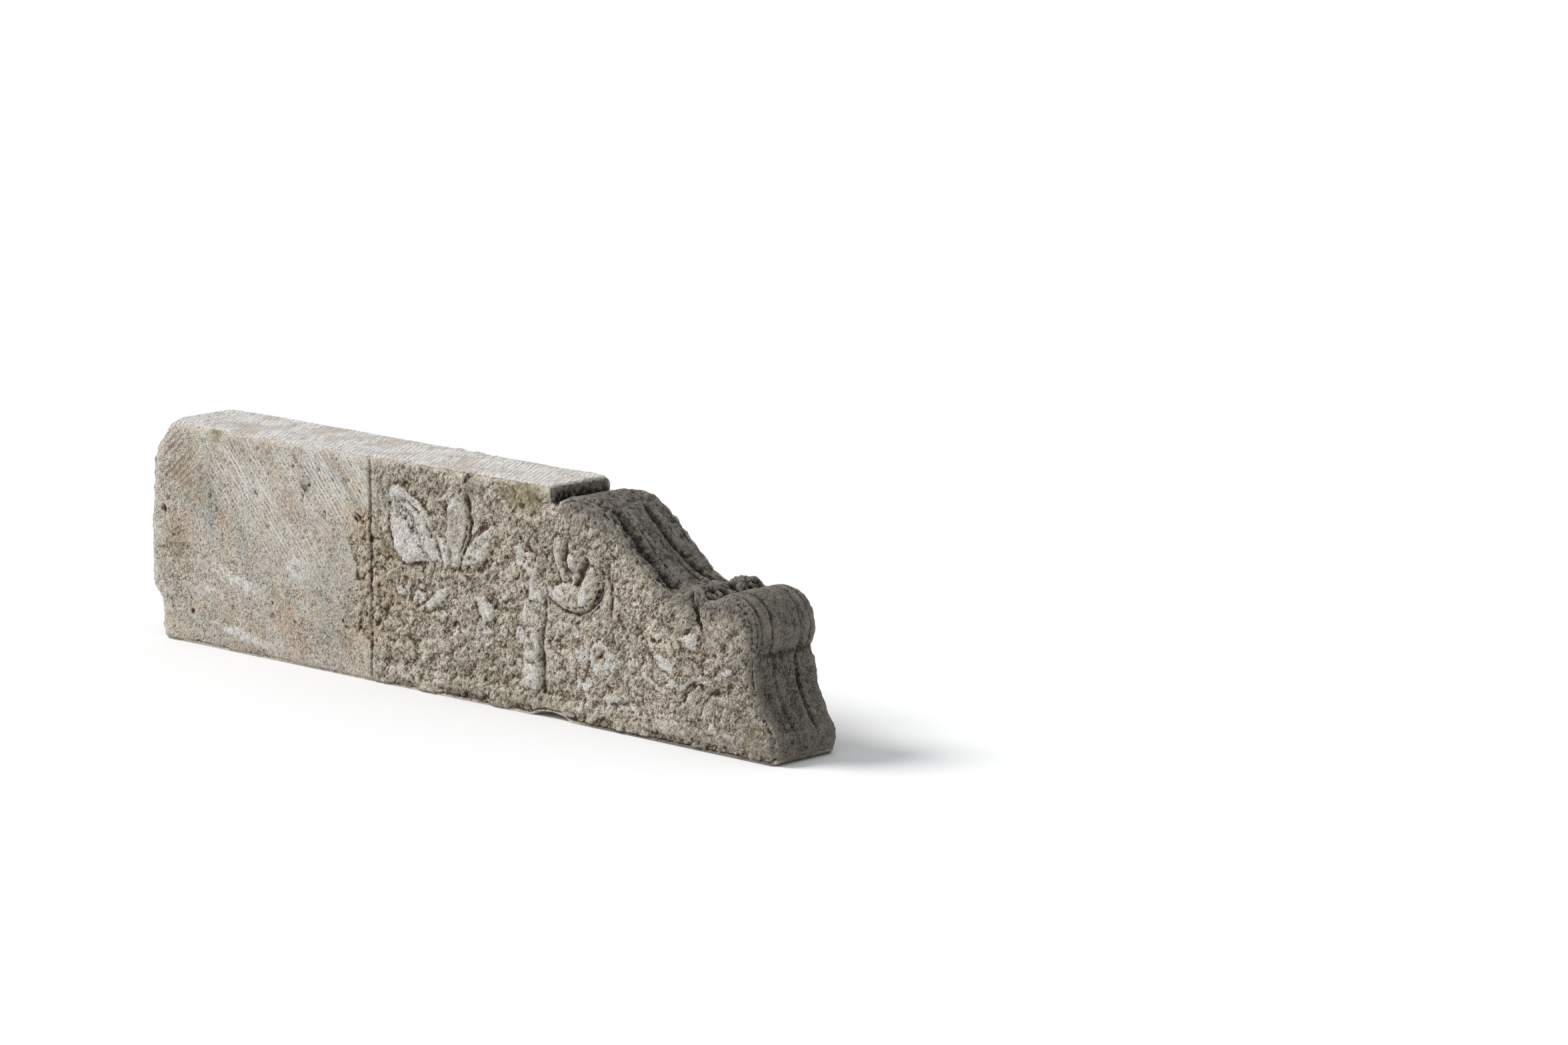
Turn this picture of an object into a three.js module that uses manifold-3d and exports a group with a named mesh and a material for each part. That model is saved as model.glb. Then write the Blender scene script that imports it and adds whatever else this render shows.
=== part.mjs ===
import * as THREE from "three";
import { mergeVertices } from "three/addons/utils/BufferGeometryUtils.js";
import Module from "manifold-3d";

// A long carved stone corbel, lying on its flat bed. A plain tail block, made to be built into a wall,
// carries a weathered carved field on both sides and ends in a carved head: an ogee with channels,
// a row of curled leaf tips, a roll, a hollow and a plain toe. It is one block of stone.
// Millimetres. +X runs from the tail to the toe, +Z is up, and the origin is under the middle.

// The block
const STONE_HEIGHT = 340;
const TAIL_LENGTH = 466; // plain tail, from its end to the scribed line
const FIELD_LENGTH = 376; // carved field, from the scribed line to the step
const HEAD_LENGTH = 446; // from the step to the toe
const TAIL_WIDTH = 147;
const STEP_WIDTH = 125;
const TOE_WIDTH = 127;

// The rough end of the tail, which stands out above a low ledge
const TAIL_BULGE = 25;
const TAIL_HEEL = 10; // chipped lower edge
const TAIL_ARRIS_WEAR = 4; // upright corners
const NEAR_SHOULDER_WEAR = 38; // the upper near corner, which is broken away
const FAR_SHOULDER_WEAR = 27;
const SHOULDER_SLANT = [0.7, 0.45, 0.55]; // which way the broken corners face: endwise, sideways and up
// how far up and how far out the end goes, as shares of the stone's height and of the bulge
const TAIL_PROFILE = [
  [0.18, 0],
  [0.2, 0.25],
  [0.23, 0.68],
  [0.28, 0.9],
  [0.33, 1],
  [0.41, 1],
  [0.52, 0.84],
  [0.64, 0.7],
  [0.76, 0.62],
  [0.85, 0.48],
  [0.94, 0.26],
  [1, -0.1],
];

// The step and the ogee
const STEP_DROP = 22;
const QUIRK_DEPTH = 6;
const QUIRK_WIDTH = 11;
const CROWN_REACH = 62; // from the step to the top of the shoulder
const CROWN_DROP = 11; // below the upper bed
const CROWN_HANDLE = 80;
const SHOULDER_HANDLE = 18;
const HOLLOW_REACH = 250; // from the step to the bottom of the ogee
const HOLLOW_DROP = 121;
const HOLLOW_HANDLE = 70;

// The roll, and the hollow and toe below it
const ROLL_RADIUS = 53;
const ROLL_TO_TOE = 92; // from the roll's centre to the toe
const ROLL_DROP = 162; // from the upper bed down to the roll's centre
const ROLL_BACK = 130; // degrees, where the roll leaves the leaf tips
const ROLL_FRONT = -35; // degrees, where the roll meets the hollow
const TOE_HEIGHT = 40;
const TOE_SET_BACK = 4; // top of the toe band behind its foot
const TOE_HEEL = 10; // worn lower edge of the toe
const HOLLOW_BEND = 45; // from the top of the toe band up to where the hollow is deepest
const HOLLOW_UNDERCUT = 2;

// The leaf tips
const LEAF_RISE = 16;
const LEAF_GAP = 3;
const LEAF_SHARES = [0.21, 0.34, 0.21, 0.24]; // widths of the four tips, from the near side
const LEAF_FRONT = [0.05, 0.5]; // shares of the way to the roll over which they rise, and fall
const LEAF_BACK = [0.6, 0.85];

// Wear and mesh steps of the carved face
const NEAR_WEAR = 6;
const FAR_WEAR = { shoulder: 9, ogee: 9, roll: 8 }; // the far edge is more broken here
const FAR_WEAR_ELSEWHERE = 3;
const ARRIS_RUN = 10;
const FAR_ROLL_RUN = 20; // how far the wear of the roll's far edge reaches in
const FAR_HOLLOW_FILL = 7; // the hollow below the roll is shallower at its far edge
const FILL_END = 0.7; // share of the hollow's way down from which it fades
const COLUMN_PITCH = 6;
const COLUMN_GAP = 2.2;
const HEAD_OVERLAP = 12; // how far the head's own solid reaches into the field

// The carved sides
const SCRIBE_WIDTH = 5;
const SCRIBE_DEPTH = 3;
const SCRIBE_OVERRUN = 40; // past the lower and the upper edge
const FIELD_SINK = 2; // the field's ground below the faces of the tail
const BASE_BAND = 33; // height of the band left proud along the foot
const PAD_ROOT = 4; // how far a raised piece reaches into the ground
const PAD_ROUND = 2; // rounding of a raised piece's edge
const CUT_REACH = 20; // how far the solid of a cut stands out of the side
const CUT_SLOPE = 1; // how far a cut's sides slope in
const WING_SLOPE = 2; // the same in the hollow of the palmette's wing
const RIBBON_END = 0.45; // share of a ribbon's width that is left at its ends
const PETAL_SWELL = 0.15; // share of a petal's length from its ends to where its sides swell most

// The palmette, from its root
const PALMETTE_ALONG = 186; // from the scribed line
const PALMETTE_DROP = 138; // from the upper bed
const PALMETTE_SIZE = 100;
const PALMETTE_RAISE = 5;
const STEM_WIDTH = 16;
const CLEFT_WIDTH = 8;
const CLEFT_DEPTH = 4;
// root, tip and how far the sides swell, as shares of the palmette's size
const PETALS = [
  { root: [-0.46, -0.02], tip: [-1.38, 0.96], left: 0.5, right: 0.48 },
  { root: [-0.02, 0], tip: [0, 0.98], left: 0.3, right: 0.24 },
  { root: [0.06, 0.02], tip: [0.66, 0.62], left: 0.12, right: 0.24 },
];
const WING_HOLLOW = { root: [-0.58, 0.05], tip: [-1.2, 0.62], left: 0.12, right: 0.2 };
const STEM_LINE = [[-1.2, -0.5], [-0.75, -0.62], [-0.4, -0.42], [0, -0.12]];
const CLEFT_LINE = [[0.17, 0.98], [0.25, 0.6], [0.05, 0.02]];

// The volute below the shoulder
const VOLUTE_REACH = 51; // from the step
const VOLUTE_DROP = 117; // from the upper bed
const VOLUTE_RADIUS = 52;
const VOLUTE_EYE = 26; // radius of the inner end
const VOLUTE_BAND = 22;
const VOLUTE_RAISE = 5;
const VOLUTE_KNOB = 10;
const VOLUTE_ARC = [-10, -215]; // degrees, from its outer end to its inner end
const RIM_ARC = [-20, -140]; // degrees, the groove around its foot
const RIM_GAP = 4;
const RIM_WIDTH = 6;
const RIM_DEPTH = 3;

// The upright strip beside the volute
const STRIP_REACH = 40; // from its middle to the step
const STRIP_WIDTH = 30;
const STRIP_HEIGHT = 134;
const STRIP_RAISE = 4;
const STRIP_GROOVE = 7;
const STRIP_GROOVE_DEPTH = 4;
const STRIP_GROOVE_RISE = 36; // how far the groove runs on above the strip

// The ends of the roll and of the leaf tips, and the cleft between them
const ROLL_END_RAISE = 3;
const LEAF_END_RAISE = 4;
const LEAF_END_LENGTH = 34; // half
const LEAF_END_HEIGHT = 22; // half
const LEAF_END_REACH = 4; // from the bottom of the ogee
const LEAF_END_DROP = 28;
const END_CLEFT_REACH = 40; // from the middle of the leaf tips' end
const END_CLEFT_WIDTH = 9;
const END_CLEFT_DEPTH = 4;
const END_CLEFT_LINE = [[0, 24], [-3, 4], [4, -16]];

// Two bowed grooves under the roll
const BOW_WIDTH = 7;
const BOW_DEPTH = 3;
const BOW_LINE = [[0, 0], [10, 20], [30, 32], [58, 36]];
const BOW_STARTS = [[186, 68], [160, 56]]; // back from the toe, and up

// A low ring of mortar
const MORTAR_REACH = 93; // from the step
const MORTAR_HEIGHT = 108;
const MORTAR_RADIUS = 20;
const MORTAR_HOLE = 6;
const MORTAR_RAISE = 3;

// Worn corners of the toe
const TOE_CORNER_WEAR = 9;
const TOE_BAND_WEAR = 5;
const TOE_SLANT = 0.8;

// Chips out of the near side: their half sizes along, across and up, and how far their middles stand
// off the side
const BED_CHIP = [20, 9, 14];
const BED_CHIP_REACH = 212; // from the scribed line
const BED_CHIP_DROP = 6; // from the upper bed
const BED_CHIP_OFF = 3;
const LEDGE_CHIP = [16, 7, 7];
const LEDGE_CHIP_REACH = 318; // from the scribed line
const LEDGE_CHIP_DROP = 35; // from the upper bed
const LEDGE_CHIP_OFF = 2;
const FOOT_CHIP = [40, 26, 10];
const FOOT_CHIP_REACH = 4; // from the step

const BED_LENGTH = TAIL_LENGTH + FIELD_LENGTH;
const STONE_LENGTH = BED_LENGTH + HEAD_LENGTH;
const ROLL_CENTRE = new THREE.Vector2(STONE_LENGTH - ROLL_TO_TOE, STONE_HEIGHT - ROLL_DROP);
// middle along and up, how far the middle stands off the side, and half sizes
const CHIPS = [
  [TAIL_LENGTH + BED_CHIP_REACH, STONE_HEIGHT - BED_CHIP_DROP, BED_CHIP_OFF, BED_CHIP],
  [TAIL_LENGTH + LEDGE_CHIP_REACH, STONE_HEIGHT - LEDGE_CHIP_DROP, LEDGE_CHIP_OFF, LEDGE_CHIP],
  [BED_LENGTH - FOOT_CHIP_REACH, 0, 0, FOOT_CHIP],
];

const wasm = await Module();
wasm.setup();

// A closed three.js geometry as a solid that can be joined and cut.
function solid(geometry) {
  const bare = geometry.clone();
  bare.deleteAttribute("normal");
  bare.deleteAttribute("uv");
  const welded = mergeVertices(bare);
  return new wasm.Manifold(
    new wasm.Mesh({
      numProp: 3,
      vertProperties: welded.attributes.position.array,
      triVerts: new Uint32Array(welded.index.array),
    }),
  );
}

// Half the stone's width at a place along it: it narrows from the tail to the step.
function halfWidth(x) {
  const lerp = THREE.MathUtils.lerp;
  return x < BED_LENGTH
    ? lerp(TAIL_WIDTH, STEP_WIDTH, x / BED_LENGTH) / 2
    : lerp(STEP_WIDTH, TOE_WIDTH, (x - BED_LENGTH) / HEAD_LENGTH) / 2;
}

// Moves every vertex of a geometry by a function that changes it in place.
function shaped(geometry, move) {
  const place = new THREE.Vector3();
  const positions = geometry.attributes.position;
  for (let i = 0; i < positions.count; i++) {
    move(place.fromBufferAttribute(positions, i));
    positions.setXYZ(i, place.x, place.y, place.z);
  }
  return geometry;
}

// Lays a drawing (x along the stone, y up, z out from the field's ground) on one side of the stone.
function ontoSide(geometry, side) {
  shaped(geometry, (p) => {
    const out = halfWidth(p.x) - FIELD_SINK + p.z;
    p.set(p.x, side * out, p.y);
  });
  if (side > 0) {
    const positions = geometry.attributes.position;
    for (let i = 0; i < positions.count; i += 3) {
      const a = new THREE.Vector3().fromBufferAttribute(positions, i);
      const b = new THREE.Vector3().fromBufferAttribute(positions, i + 1);
      positions.setXYZ(i, b.x, b.y, b.z);
      positions.setXYZ(i + 1, a.x, a.y, a.z);
    }
  }
  return geometry;
}

// The tail and field, up to the step.
function tailBlock() {
  const top = STONE_HEIGHT;
  const outline = new THREE.Shape();
  outline.moveTo(TAIL_HEEL, 0);
  outline.lineTo(BED_LENGTH, 0);
  outline.lineTo(BED_LENGTH, top);
  for (const [up, out] of TAIL_PROFILE.toReversed()) outline.lineTo(-TAIL_BULGE * out, top * up);
  outline.lineTo(0, TAIL_HEEL);
  outline.closePath();
  const blank = new THREE.ExtrudeGeometry(outline, {
    depth: 2,
    steps: 1,
    bevelEnabled: false,
  });
  return solid(shaped(blank, (p) => p.set(p.x, (1 - p.z) * halfWidth(p.x), p.y)));
}

// The head's profile from the foot of the step to the toe, in zones. Each station keeps its place t
// in its zone.
function headProfile() {
  const top = STONE_HEIGHT;
  const at = (x, z) => new THREE.Vector2(x, z);
  const foot = at(BED_LENGTH, top - STEP_DROP);
  const quirk = at(BED_LENGTH + QUIRK_WIDTH / 3, top - STEP_DROP - QUIRK_DEPTH);
  const shoulder = at(BED_LENGTH + QUIRK_WIDTH, top - STEP_DROP);
  const crown = at(BED_LENGTH + CROWN_REACH, top - CROWN_DROP);
  const overShoulder = at(shoulder.x + SHOULDER_HANDLE, crown.y);
  const hollow = at(BED_LENGTH + HOLLOW_REACH, top - HOLLOW_DROP);
  const onRoll = (degrees) => {
    const angle = THREE.MathUtils.degToRad(degrees);
    return at(Math.cos(angle), Math.sin(angle)).multiplyScalar(ROLL_RADIUS).add(ROLL_CENTRE);
  };
  const rollStart = onRoll(ROLL_BACK);
  const crease = onRoll(ROLL_FRONT);
  const deepest = at(crease.x - HOLLOW_UNDERCUT, TOE_HEIGHT + HOLLOW_BEND);
  const toeTop = at(STONE_LENGTH - TOE_SET_BACK, TOE_HEIGHT);
  const toeFoot = at(STONE_LENGTH, TOE_HEEL);
  const rollArc = new THREE.EllipseCurve(
    ROLL_CENTRE.x,
    ROLL_CENTRE.y,
    ROLL_RADIUS,
    ROLL_RADIUS,
    THREE.MathUtils.degToRad(ROLL_BACK),
    THREE.MathUtils.degToRad(ROLL_FRONT),
    true,
  );
  const zones = [
    ["quirk", new THREE.LineCurve(foot, quirk), 1],
    ["quirk", new THREE.LineCurve(quirk, shoulder), 1],
    ["shoulder", new THREE.QuadraticBezierCurve(shoulder, overShoulder, crown), 5],
    [
      "ogee",
      new THREE.CubicBezierCurve(
        crown,
        at(crown.x + CROWN_HANDLE, crown.y),
        at(hollow.x - HOLLOW_HANDLE, hollow.y),
        hollow,
      ),
      20,
    ],
    ["leaf", new THREE.LineCurve(hollow, rollStart), 12],
    ["roll", rollArc, 16],
    ["cavetto", new THREE.QuadraticBezierCurve(crease, deepest, toeTop), 8],
    ["toe", new THREE.LineCurve(toeTop, toeFoot), 2],
    ["heel", new THREE.LineCurve(toeFoot, at(STONE_LENGTH - TOE_HEEL, 0)), 1],
  ];
  const stations = [{ place: foot, zone: "quirk", t: 0 }];
  for (const [zone, curve, steps] of zones)
    for (let i = 1; i <= steps; i++)
      stations.push({ place: curve.getPoint(i / steps), zone, t: i / steps });
  stations.forEach((station, i) => {
    const before = stations[Math.max(i - 1, 0)].place;
    const after = stations[Math.min(i + 1, stations.length - 1)].place;
    const along = after.clone().sub(before).normalize();
    station.normal = new THREE.Vector2(-along.y, along.x);
  });
  return stations;
}

// Grooves of the carved face. Each runs from one share of its zone to another, at y across the stone.
const GROOVES = {
  nearChannel: { zone: "ogee", from: 0.16, to: 0.95, y: -35, width: 26, depth: 14 },
  farChannel: { zone: "ogee", from: 0.2, to: 0.96, y: 19, width: 20, depth: 13 },
  fineGroove: { zone: "ogee", from: 0.55, to: 1, y: 3, width: 9, depth: 4 },
  rollNear: { zone: "roll", from: 0, to: 1, y: -52, width: 6, depth: 4 },
  rollMiddle: { zone: "roll", from: 0, to: 1, y: -28, width: 5, depth: 2 },
  rollFar: { zone: "roll", from: 0, to: 1, y: 32, width: 6, depth: 3 },
  cavettoNear: { zone: "cavetto", from: 0, to: 1, y: -19, width: 6, depth: 2.5 },
  cavettoFar: { zone: "cavetto", from: 0, to: 1, y: 24, width: 7, depth: 4 },
};
const LEAN_FROM = -15; // across the stone, where the ogee's channels start to lean to the far side
const LEAN_REACH = 33; // how far the far channel has moved out at its foot
const CHANNEL_START = 0.2; // shares of a channel's run over which it deepens, and rises again
const CHANNEL_END = 0.12;

// Where a line across at y has moved to: on the ogee the lines fan out to the far side, and by the leaf tips
// they are back.
function leaned({ zone, t }, y, half) {
  const { from, to, y: channel } = GROOVES.farChannel;
  const run = zone === "ogee" ? Math.max(0, (t - from) / (to - from)) ** 2 : Math.max(0, 1 - 2 * t);
  if (!["ogee", "leaf"].includes(zone) || y < LEAN_FROM) return y;
  const share = y < channel ? (y - LEAN_FROM) / (channel - LEAN_FROM) : (half - y) / (half - channel);
  return y + LEAN_REACH * Math.min(run, 1) * share;
}

// How deep one groove is at a place.
function grooveDepth(groove, t, y) {
  const run = (t - groove.from) / (groove.to - groove.from);
  if (run < 0 || run > 1) return 0;
  const across = (2 * (y - groove.y)) / groove.width;
  const open = groove.zone === "ogee" ? Math.min(1, run / CHANNEL_START, (1 - run) / CHANNEL_END) : 1;
  return groove.depth * Math.max(0, 1 - across ** 2) * open;
}

const smooth = THREE.MathUtils.smoothstep;

// How high the curled leaf tips stand at a place.
function leafRise(t, y, half) {
  const along = smooth(t, ...LEAF_FRONT) * (1 - smooth(t, ...LEAF_BACK));
  let start = -half;
  for (const share of LEAF_SHARES) {
    const width = share * 2 * half;
    if (y <= start + width + 0.01) {
      const across = (2 * (y - start)) / width - 1;
      return along * (LEAF_RISE * Math.sqrt(Math.max(0, 1 - across ** 4)) - LEAF_GAP * across ** 8);
    }
    start += width;
  }
  return 0;
}

// The carved face's height over the plain profile. line is where its line across stood before it leaned.
function relief(station, y, line) {
  const half = halfWidth(station.place.x);
  const run = y > 0 && station.zone === "roll" ? FAR_ROLL_RUN : ARRIS_RUN;
  const edge = Math.max(0, (Math.abs(y) - half + run) / run);
  const farWear = FAR_WEAR[station.zone] ?? FAR_WEAR_ELSEWHERE;
  let height = -(y < 0 ? NEAR_WEAR : farWear) * edge ** 2;
  if (station.zone === "cavetto")
    height += FAR_HOLLOW_FILL * smooth(y / half, 0, 1) * (1 - smooth(station.t, FILL_END, 1));
  for (const groove of Object.values(GROOVES))
    if (groove.zone === station.zone) height -= grooveDepth(groove, station.t, line);
  if (station.zone === "leaf") height += leafRise(station.t, y, half);
  return height;
}

// Lines across the stone on which the head's vertices stand: at the straight grooves, and evenly
// between them.
function columns() {
  const half = STEP_WIDTH / 2;
  const lines = [-half, half];
  const addLine = (y) => {
    if (lines.every((line) => Math.abs(line - y) > COLUMN_GAP)) lines.push(y);
  };
  for (const { y, width } of Object.values(GROOVES))
    [0, -width / 2, width / 2].forEach((shift) => addLine(y + shift));
  let edge = -half;
  for (const share of LEAF_SHARES.slice(0, -1)) addLine((edge += share * 2 * half));
  const count = Math.round(STEP_WIDTH / COLUMN_PITCH);
  for (let i = 1; i < count; i++) addLine(-half + (i * STEP_WIDTH) / count);
  return lines.sort((a, b) => b - a).map((y) => y / half);
}

// The carved head, reaching back into the field.
function carvedHead() {
  const stations = headProfile();
  const lines = columns();
  const back = BED_LENGTH - HEAD_OVERLAP;
  const outline = stations.map((station) => station.place);
  outline.push(new THREE.Vector2(back, 0), new THREE.Vector2(back, STONE_HEIGHT - STEP_DROP));
  const steps = lines.length - 1;
  const blank = new THREE.ExtrudeGeometry(new THREE.Shape(outline), {
    depth: steps,
    steps,
    bevelEnabled: false,
  });
  return solid(
    shaped(blank, (p) => {
      const station = stations.find((s) => Math.hypot(s.place.x - p.x, s.place.y - p.y) < 0.01);
      const half = halfWidth(p.x);
      const line = lines[Math.round(p.z)] * half;
      const y = station ? leaned(station, line, half) : line;
      const worn = station && station.zone !== "quirk" && station.place.y > 0;
      const lift = worn ? relief(station, y, line) : 0;
      const normal = worn ? station.normal : new THREE.Vector2();
      p.set(p.x + normal.x * lift, y, p.y + normal.y * lift);
    }),
  );
}

// A raised piece on a side: an outline that stands out of the field's ground with rounded edges.
function pad(outline, raise, side) {
  const geometry = new THREE.ExtrudeGeometry(outline, {
    depth: PAD_ROOT + raise - 2 * PAD_ROUND,
    bevelThickness: PAD_ROUND,
    bevelSize: PAD_ROUND,
    bevelOffset: -PAD_ROUND,
    bevelSegments: 1,
    curveSegments: 8,
  });
  geometry.translate(0, 0, PAD_ROUND - PAD_ROOT);
  return solid(ontoSide(geometry, side));
}

// A sunk piece on a side, narrower at its bottom, cut to a depth below the field's ground.
function recess(outline, depth, side, taper = CUT_SLOPE) {
  const geometry = new THREE.ExtrudeGeometry(outline, {
    depth: CUT_REACH,
    bevelEnabled: taper > 0,
    bevelThickness: taper,
    bevelSize: taper,
    bevelOffset: -taper,
    bevelSegments: 1,
    curveSegments: 5,
  });
  geometry.translate(0, 0, taper - depth);
  return solid(ontoSide(geometry, side));
}

// A band of even width along a smooth line through a few places, with narrower ends.
function ribbon(places, width, steps = 8) {
  const line = new THREE.SplineCurve(places.map(([x, z]) => new THREE.Vector2(x, z)));
  const edge = (sign) =>
    Array.from({ length: steps + 1 }, (_, i) => {
      const t = i / steps;
      const across = line.getTangent(t).rotateAround(new THREE.Vector2(), Math.PI / 2);
      const reach = (width / 2) * THREE.MathUtils.lerp(RIBBON_END, 1, Math.sin(Math.PI * t) ** 0.5);
      return line.getPoint(t).addScaledVector(across, sign * reach);
    });
  return new THREE.Shape([...edge(-1), ...edge(1).reverse()]);
}

// A petal from its root to its tip. left and right are how far its sides swell, as seen from the root.
function petal({ root, tip, left, right }, place, size) {
  const [foot, point] = [place(root), place(tip)];
  const span = point.clone().sub(foot);
  const across = new THREE.Vector2(-span.y, span.x).normalize();
  const swell = (share, reach) =>
    foot.clone().addScaledVector(span, share).addScaledVector(across, reach * size);
  const shape = new THREE.Shape();
  shape.moveTo(foot.x, foot.y);
  const [a, b] = [swell(PETAL_SWELL, -right), swell(1 - PETAL_SWELL, -right)];
  shape.bezierCurveTo(a.x, a.y, b.x, b.y, point.x, point.y);
  const [c, d] = [swell(1 - PETAL_SWELL, left), swell(PETAL_SWELL, left)];
  shape.bezierCurveTo(c.x, c.y, d.x, d.y, foot.x, foot.y);
  return shape;
}

// The palmette: a wing, an upright petal and a small petal that fan out from one root.
function palmette(side) {
  const root = new THREE.Vector2(TAIL_LENGTH + PALMETTE_ALONG, STONE_HEIGHT - PALMETTE_DROP);
  const place = ([x, z]) => root.clone().add(new THREE.Vector2(x, z).multiplyScalar(PALMETTE_SIZE));
  const band = (line, width) => ribbon(line.map((p) => place(p).toArray()), width);
  const petals = PETALS.map((one) => petal(one, place, PALMETTE_SIZE));
  const hollow = petal(WING_HOLLOW, place, PALMETTE_SIZE);
  return {
    raised: [...petals, band(STEM_LINE, STEM_WIDTH)].map((shape) => pad(shape, PALMETTE_RAISE, side)),
    sunk: [
      recess(hollow, -PALMETTE_RAISE / 2, side, WING_SLOPE),
      recess(band(CLEFT_LINE, CLEFT_WIDTH), CLEFT_DEPTH, side),
    ],
  };
}

// A place on a circle, by its angle in degrees.
function onCircle(centre, radius, degrees) {
  const angle = THREE.MathUtils.degToRad(degrees);
  return [centre.x + radius * Math.cos(angle), centre.y + radius * Math.sin(angle)];
}

// The volute: a band that winds in from the foot of the shoulder to a knob.
function volute(side) {
  const lerp = THREE.MathUtils.lerp;
  const centre = new THREE.Vector2(BED_LENGTH + VOLUTE_REACH, STONE_HEIGHT - VOLUTE_DROP);
  const turns = (count, make) => Array.from({ length: count + 1 }, (_, i) => make(i / count));
  const places = turns(6, (share) => {
    const radius = lerp(VOLUTE_RADIUS, VOLUTE_EYE, share) - VOLUTE_BAND / 2;
    return onCircle(centre, radius, lerp(...VOLUTE_ARC, share));
  });
  const knob = [centre.x - VOLUTE_KNOB / 2, centre.y + VOLUTE_KNOB / 2];
  const eye = new THREE.Shape().absarc(...knob, VOLUTE_KNOB, 0, 2 * Math.PI);
  const rim = turns(4, (share) => onCircle(centre, VOLUTE_RADIUS + RIM_GAP, lerp(...RIM_ARC, share)));
  return {
    raised: [pad(ribbon(places, VOLUTE_BAND, 14), VOLUTE_RAISE, side), pad(eye, VOLUTE_RAISE, side)],
    sunk: [recess(ribbon(rim, RIM_WIDTH), RIM_DEPTH, side)],
  };
}

// The upright strip that closes the field, with a groove on its right.
function strip(side) {
  const middle = BED_LENGTH - STRIP_REACH;
  const right = middle + STRIP_WIDTH / 2 + STRIP_GROOVE / 2;
  const upright = (x, top) => [[x, BASE_BAND], [x, top]];
  const groove = ribbon(upright(right, STRIP_HEIGHT + STRIP_GROOVE_RISE), STRIP_GROOVE, 4);
  return {
    raised: [pad(ribbon(upright(middle, STRIP_HEIGHT), STRIP_WIDTH, 6), STRIP_RAISE, side)],
    sunk: [recess(groove, STRIP_GROOVE_DEPTH, side)],
  };
}

// The end of the roll and of the leaf tips, which show on the sides as low discs.
function rollEnd(side) {
  const whole = [0, 2 * Math.PI];
  const disc = new THREE.Shape().absarc(...ROLL_CENTRE, ROLL_RADIUS - NEAR_WEAR, ...whole);
  const leafX = BED_LENGTH + HOLLOW_REACH + LEAF_END_REACH;
  const leafZ = STONE_HEIGHT - HOLLOW_DROP - LEAF_END_DROP;
  const leaf = new THREE.Shape().absellipse(leafX, leafZ, LEAF_END_LENGTH, LEAF_END_HEIGHT, ...whole);
  const cleft = END_CLEFT_LINE.map(([x, z]) => [leafX + END_CLEFT_REACH + x, leafZ + z]);
  return {
    raised: [pad(disc, ROLL_END_RAISE, side), pad(leaf, LEAF_END_RAISE, side)],
    sunk: [recess(ribbon(cleft, END_CLEFT_WIDTH, 5), END_CLEFT_DEPTH, side)],
  };
}

// Two bowed grooves under the roll, where leaves were cut in.
function bowedGrooves(side) {
  const bows = BOW_STARTS.map(([back, up]) => BOW_LINE.map(([x, z]) => [STONE_LENGTH - back + x, up + z]));
  return { raised: [], sunk: bows.map((bow) => recess(ribbon(bow, BOW_WIDTH), BOW_DEPTH, side)) };
}

// A low ring of mortar on the head's side.
function mortarRing(side) {
  const middle = [BED_LENGTH + MORTAR_REACH, MORTAR_HEIGHT];
  const ring = new THREE.Shape().absarc(...middle, MORTAR_RADIUS, 0, 2 * Math.PI);
  ring.holes.push(new THREE.Path().absarc(...middle, MORTAR_HOLE, 0, 2 * Math.PI, true));
  return { raised: [pad(ring, MORTAR_RAISE, side)], sunk: [] };
}

// A flat cut that takes a corner off: everything beyond a depth inside the corner, along a direction.
function cornerCut(corner, direction, depth) {
  const size = 3 * STONE_HEIGHT;
  const box = new THREE.BoxGeometry(size, size, size);
  const up = new THREE.Vector3(0, 0, 1);
  box.applyQuaternion(new THREE.Quaternion().setFromUnitVectors(up, direction.normalize()));
  const centre = corner.clone().addScaledVector(direction, size / 2 - depth);
  return solid(box.translate(centre.x, centre.y, centre.z));
}

// A scooped chip out of the near side: a rough ball, stretched.
function chip([along, up, off, sizes]) {
  const ball = new THREE.SphereGeometry(1, 8, 6);
  ball.scale(...sizes);
  return solid(ball.translate(along, -halfWidth(along) - off, up));
}

// Breaks and worn corners.
function breaks() {
  const v = (x, y, z) => new THREE.Vector3(x, y, z);
  const cuts = CHIPS.map(chip);
  const [endwise, sideways, upward] = SHOULDER_SLANT;
  for (const side of [-1, 1]) {
    const tail = side * halfWidth(-TAIL_BULGE);
    const toe = (side * TOE_WIDTH) / 2;
    const wear = side < 0 ? NEAR_SHOULDER_WEAR : FAR_SHOULDER_WEAR;
    const slant = v(-endwise, side * sideways, upward);
    cuts.push(cornerCut(v(-TAIL_BULGE, tail, 0), v(-1, side, 0), TAIL_ARRIS_WEAR));
    cuts.push(cornerCut(v(-TAIL_BULGE, tail, STONE_HEIGHT), slant, wear));
    cuts.push(cornerCut(v(STONE_LENGTH, toe, 0), v(TOE_SLANT, side, -TOE_SLANT), TOE_CORNER_WEAR));
    cuts.push(cornerCut(v(STONE_LENGTH, toe, TOE_HEIGHT), v(TOE_SLANT, side, 0), TOE_BAND_WEAR));
  }
  return cuts;
}

// The outline of a stretch of the sunk ground, above the band along the foot.
function panel(from, to) {
  const top = STONE_HEIGHT + BASE_BAND;
  return new THREE.Shape([
    new THREE.Vector2(from, BASE_BAND),
    new THREE.Vector2(to, BASE_BAND),
    new THREE.Vector2(to, top),
    new THREE.Vector2(from, top),
  ]);
}

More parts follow.
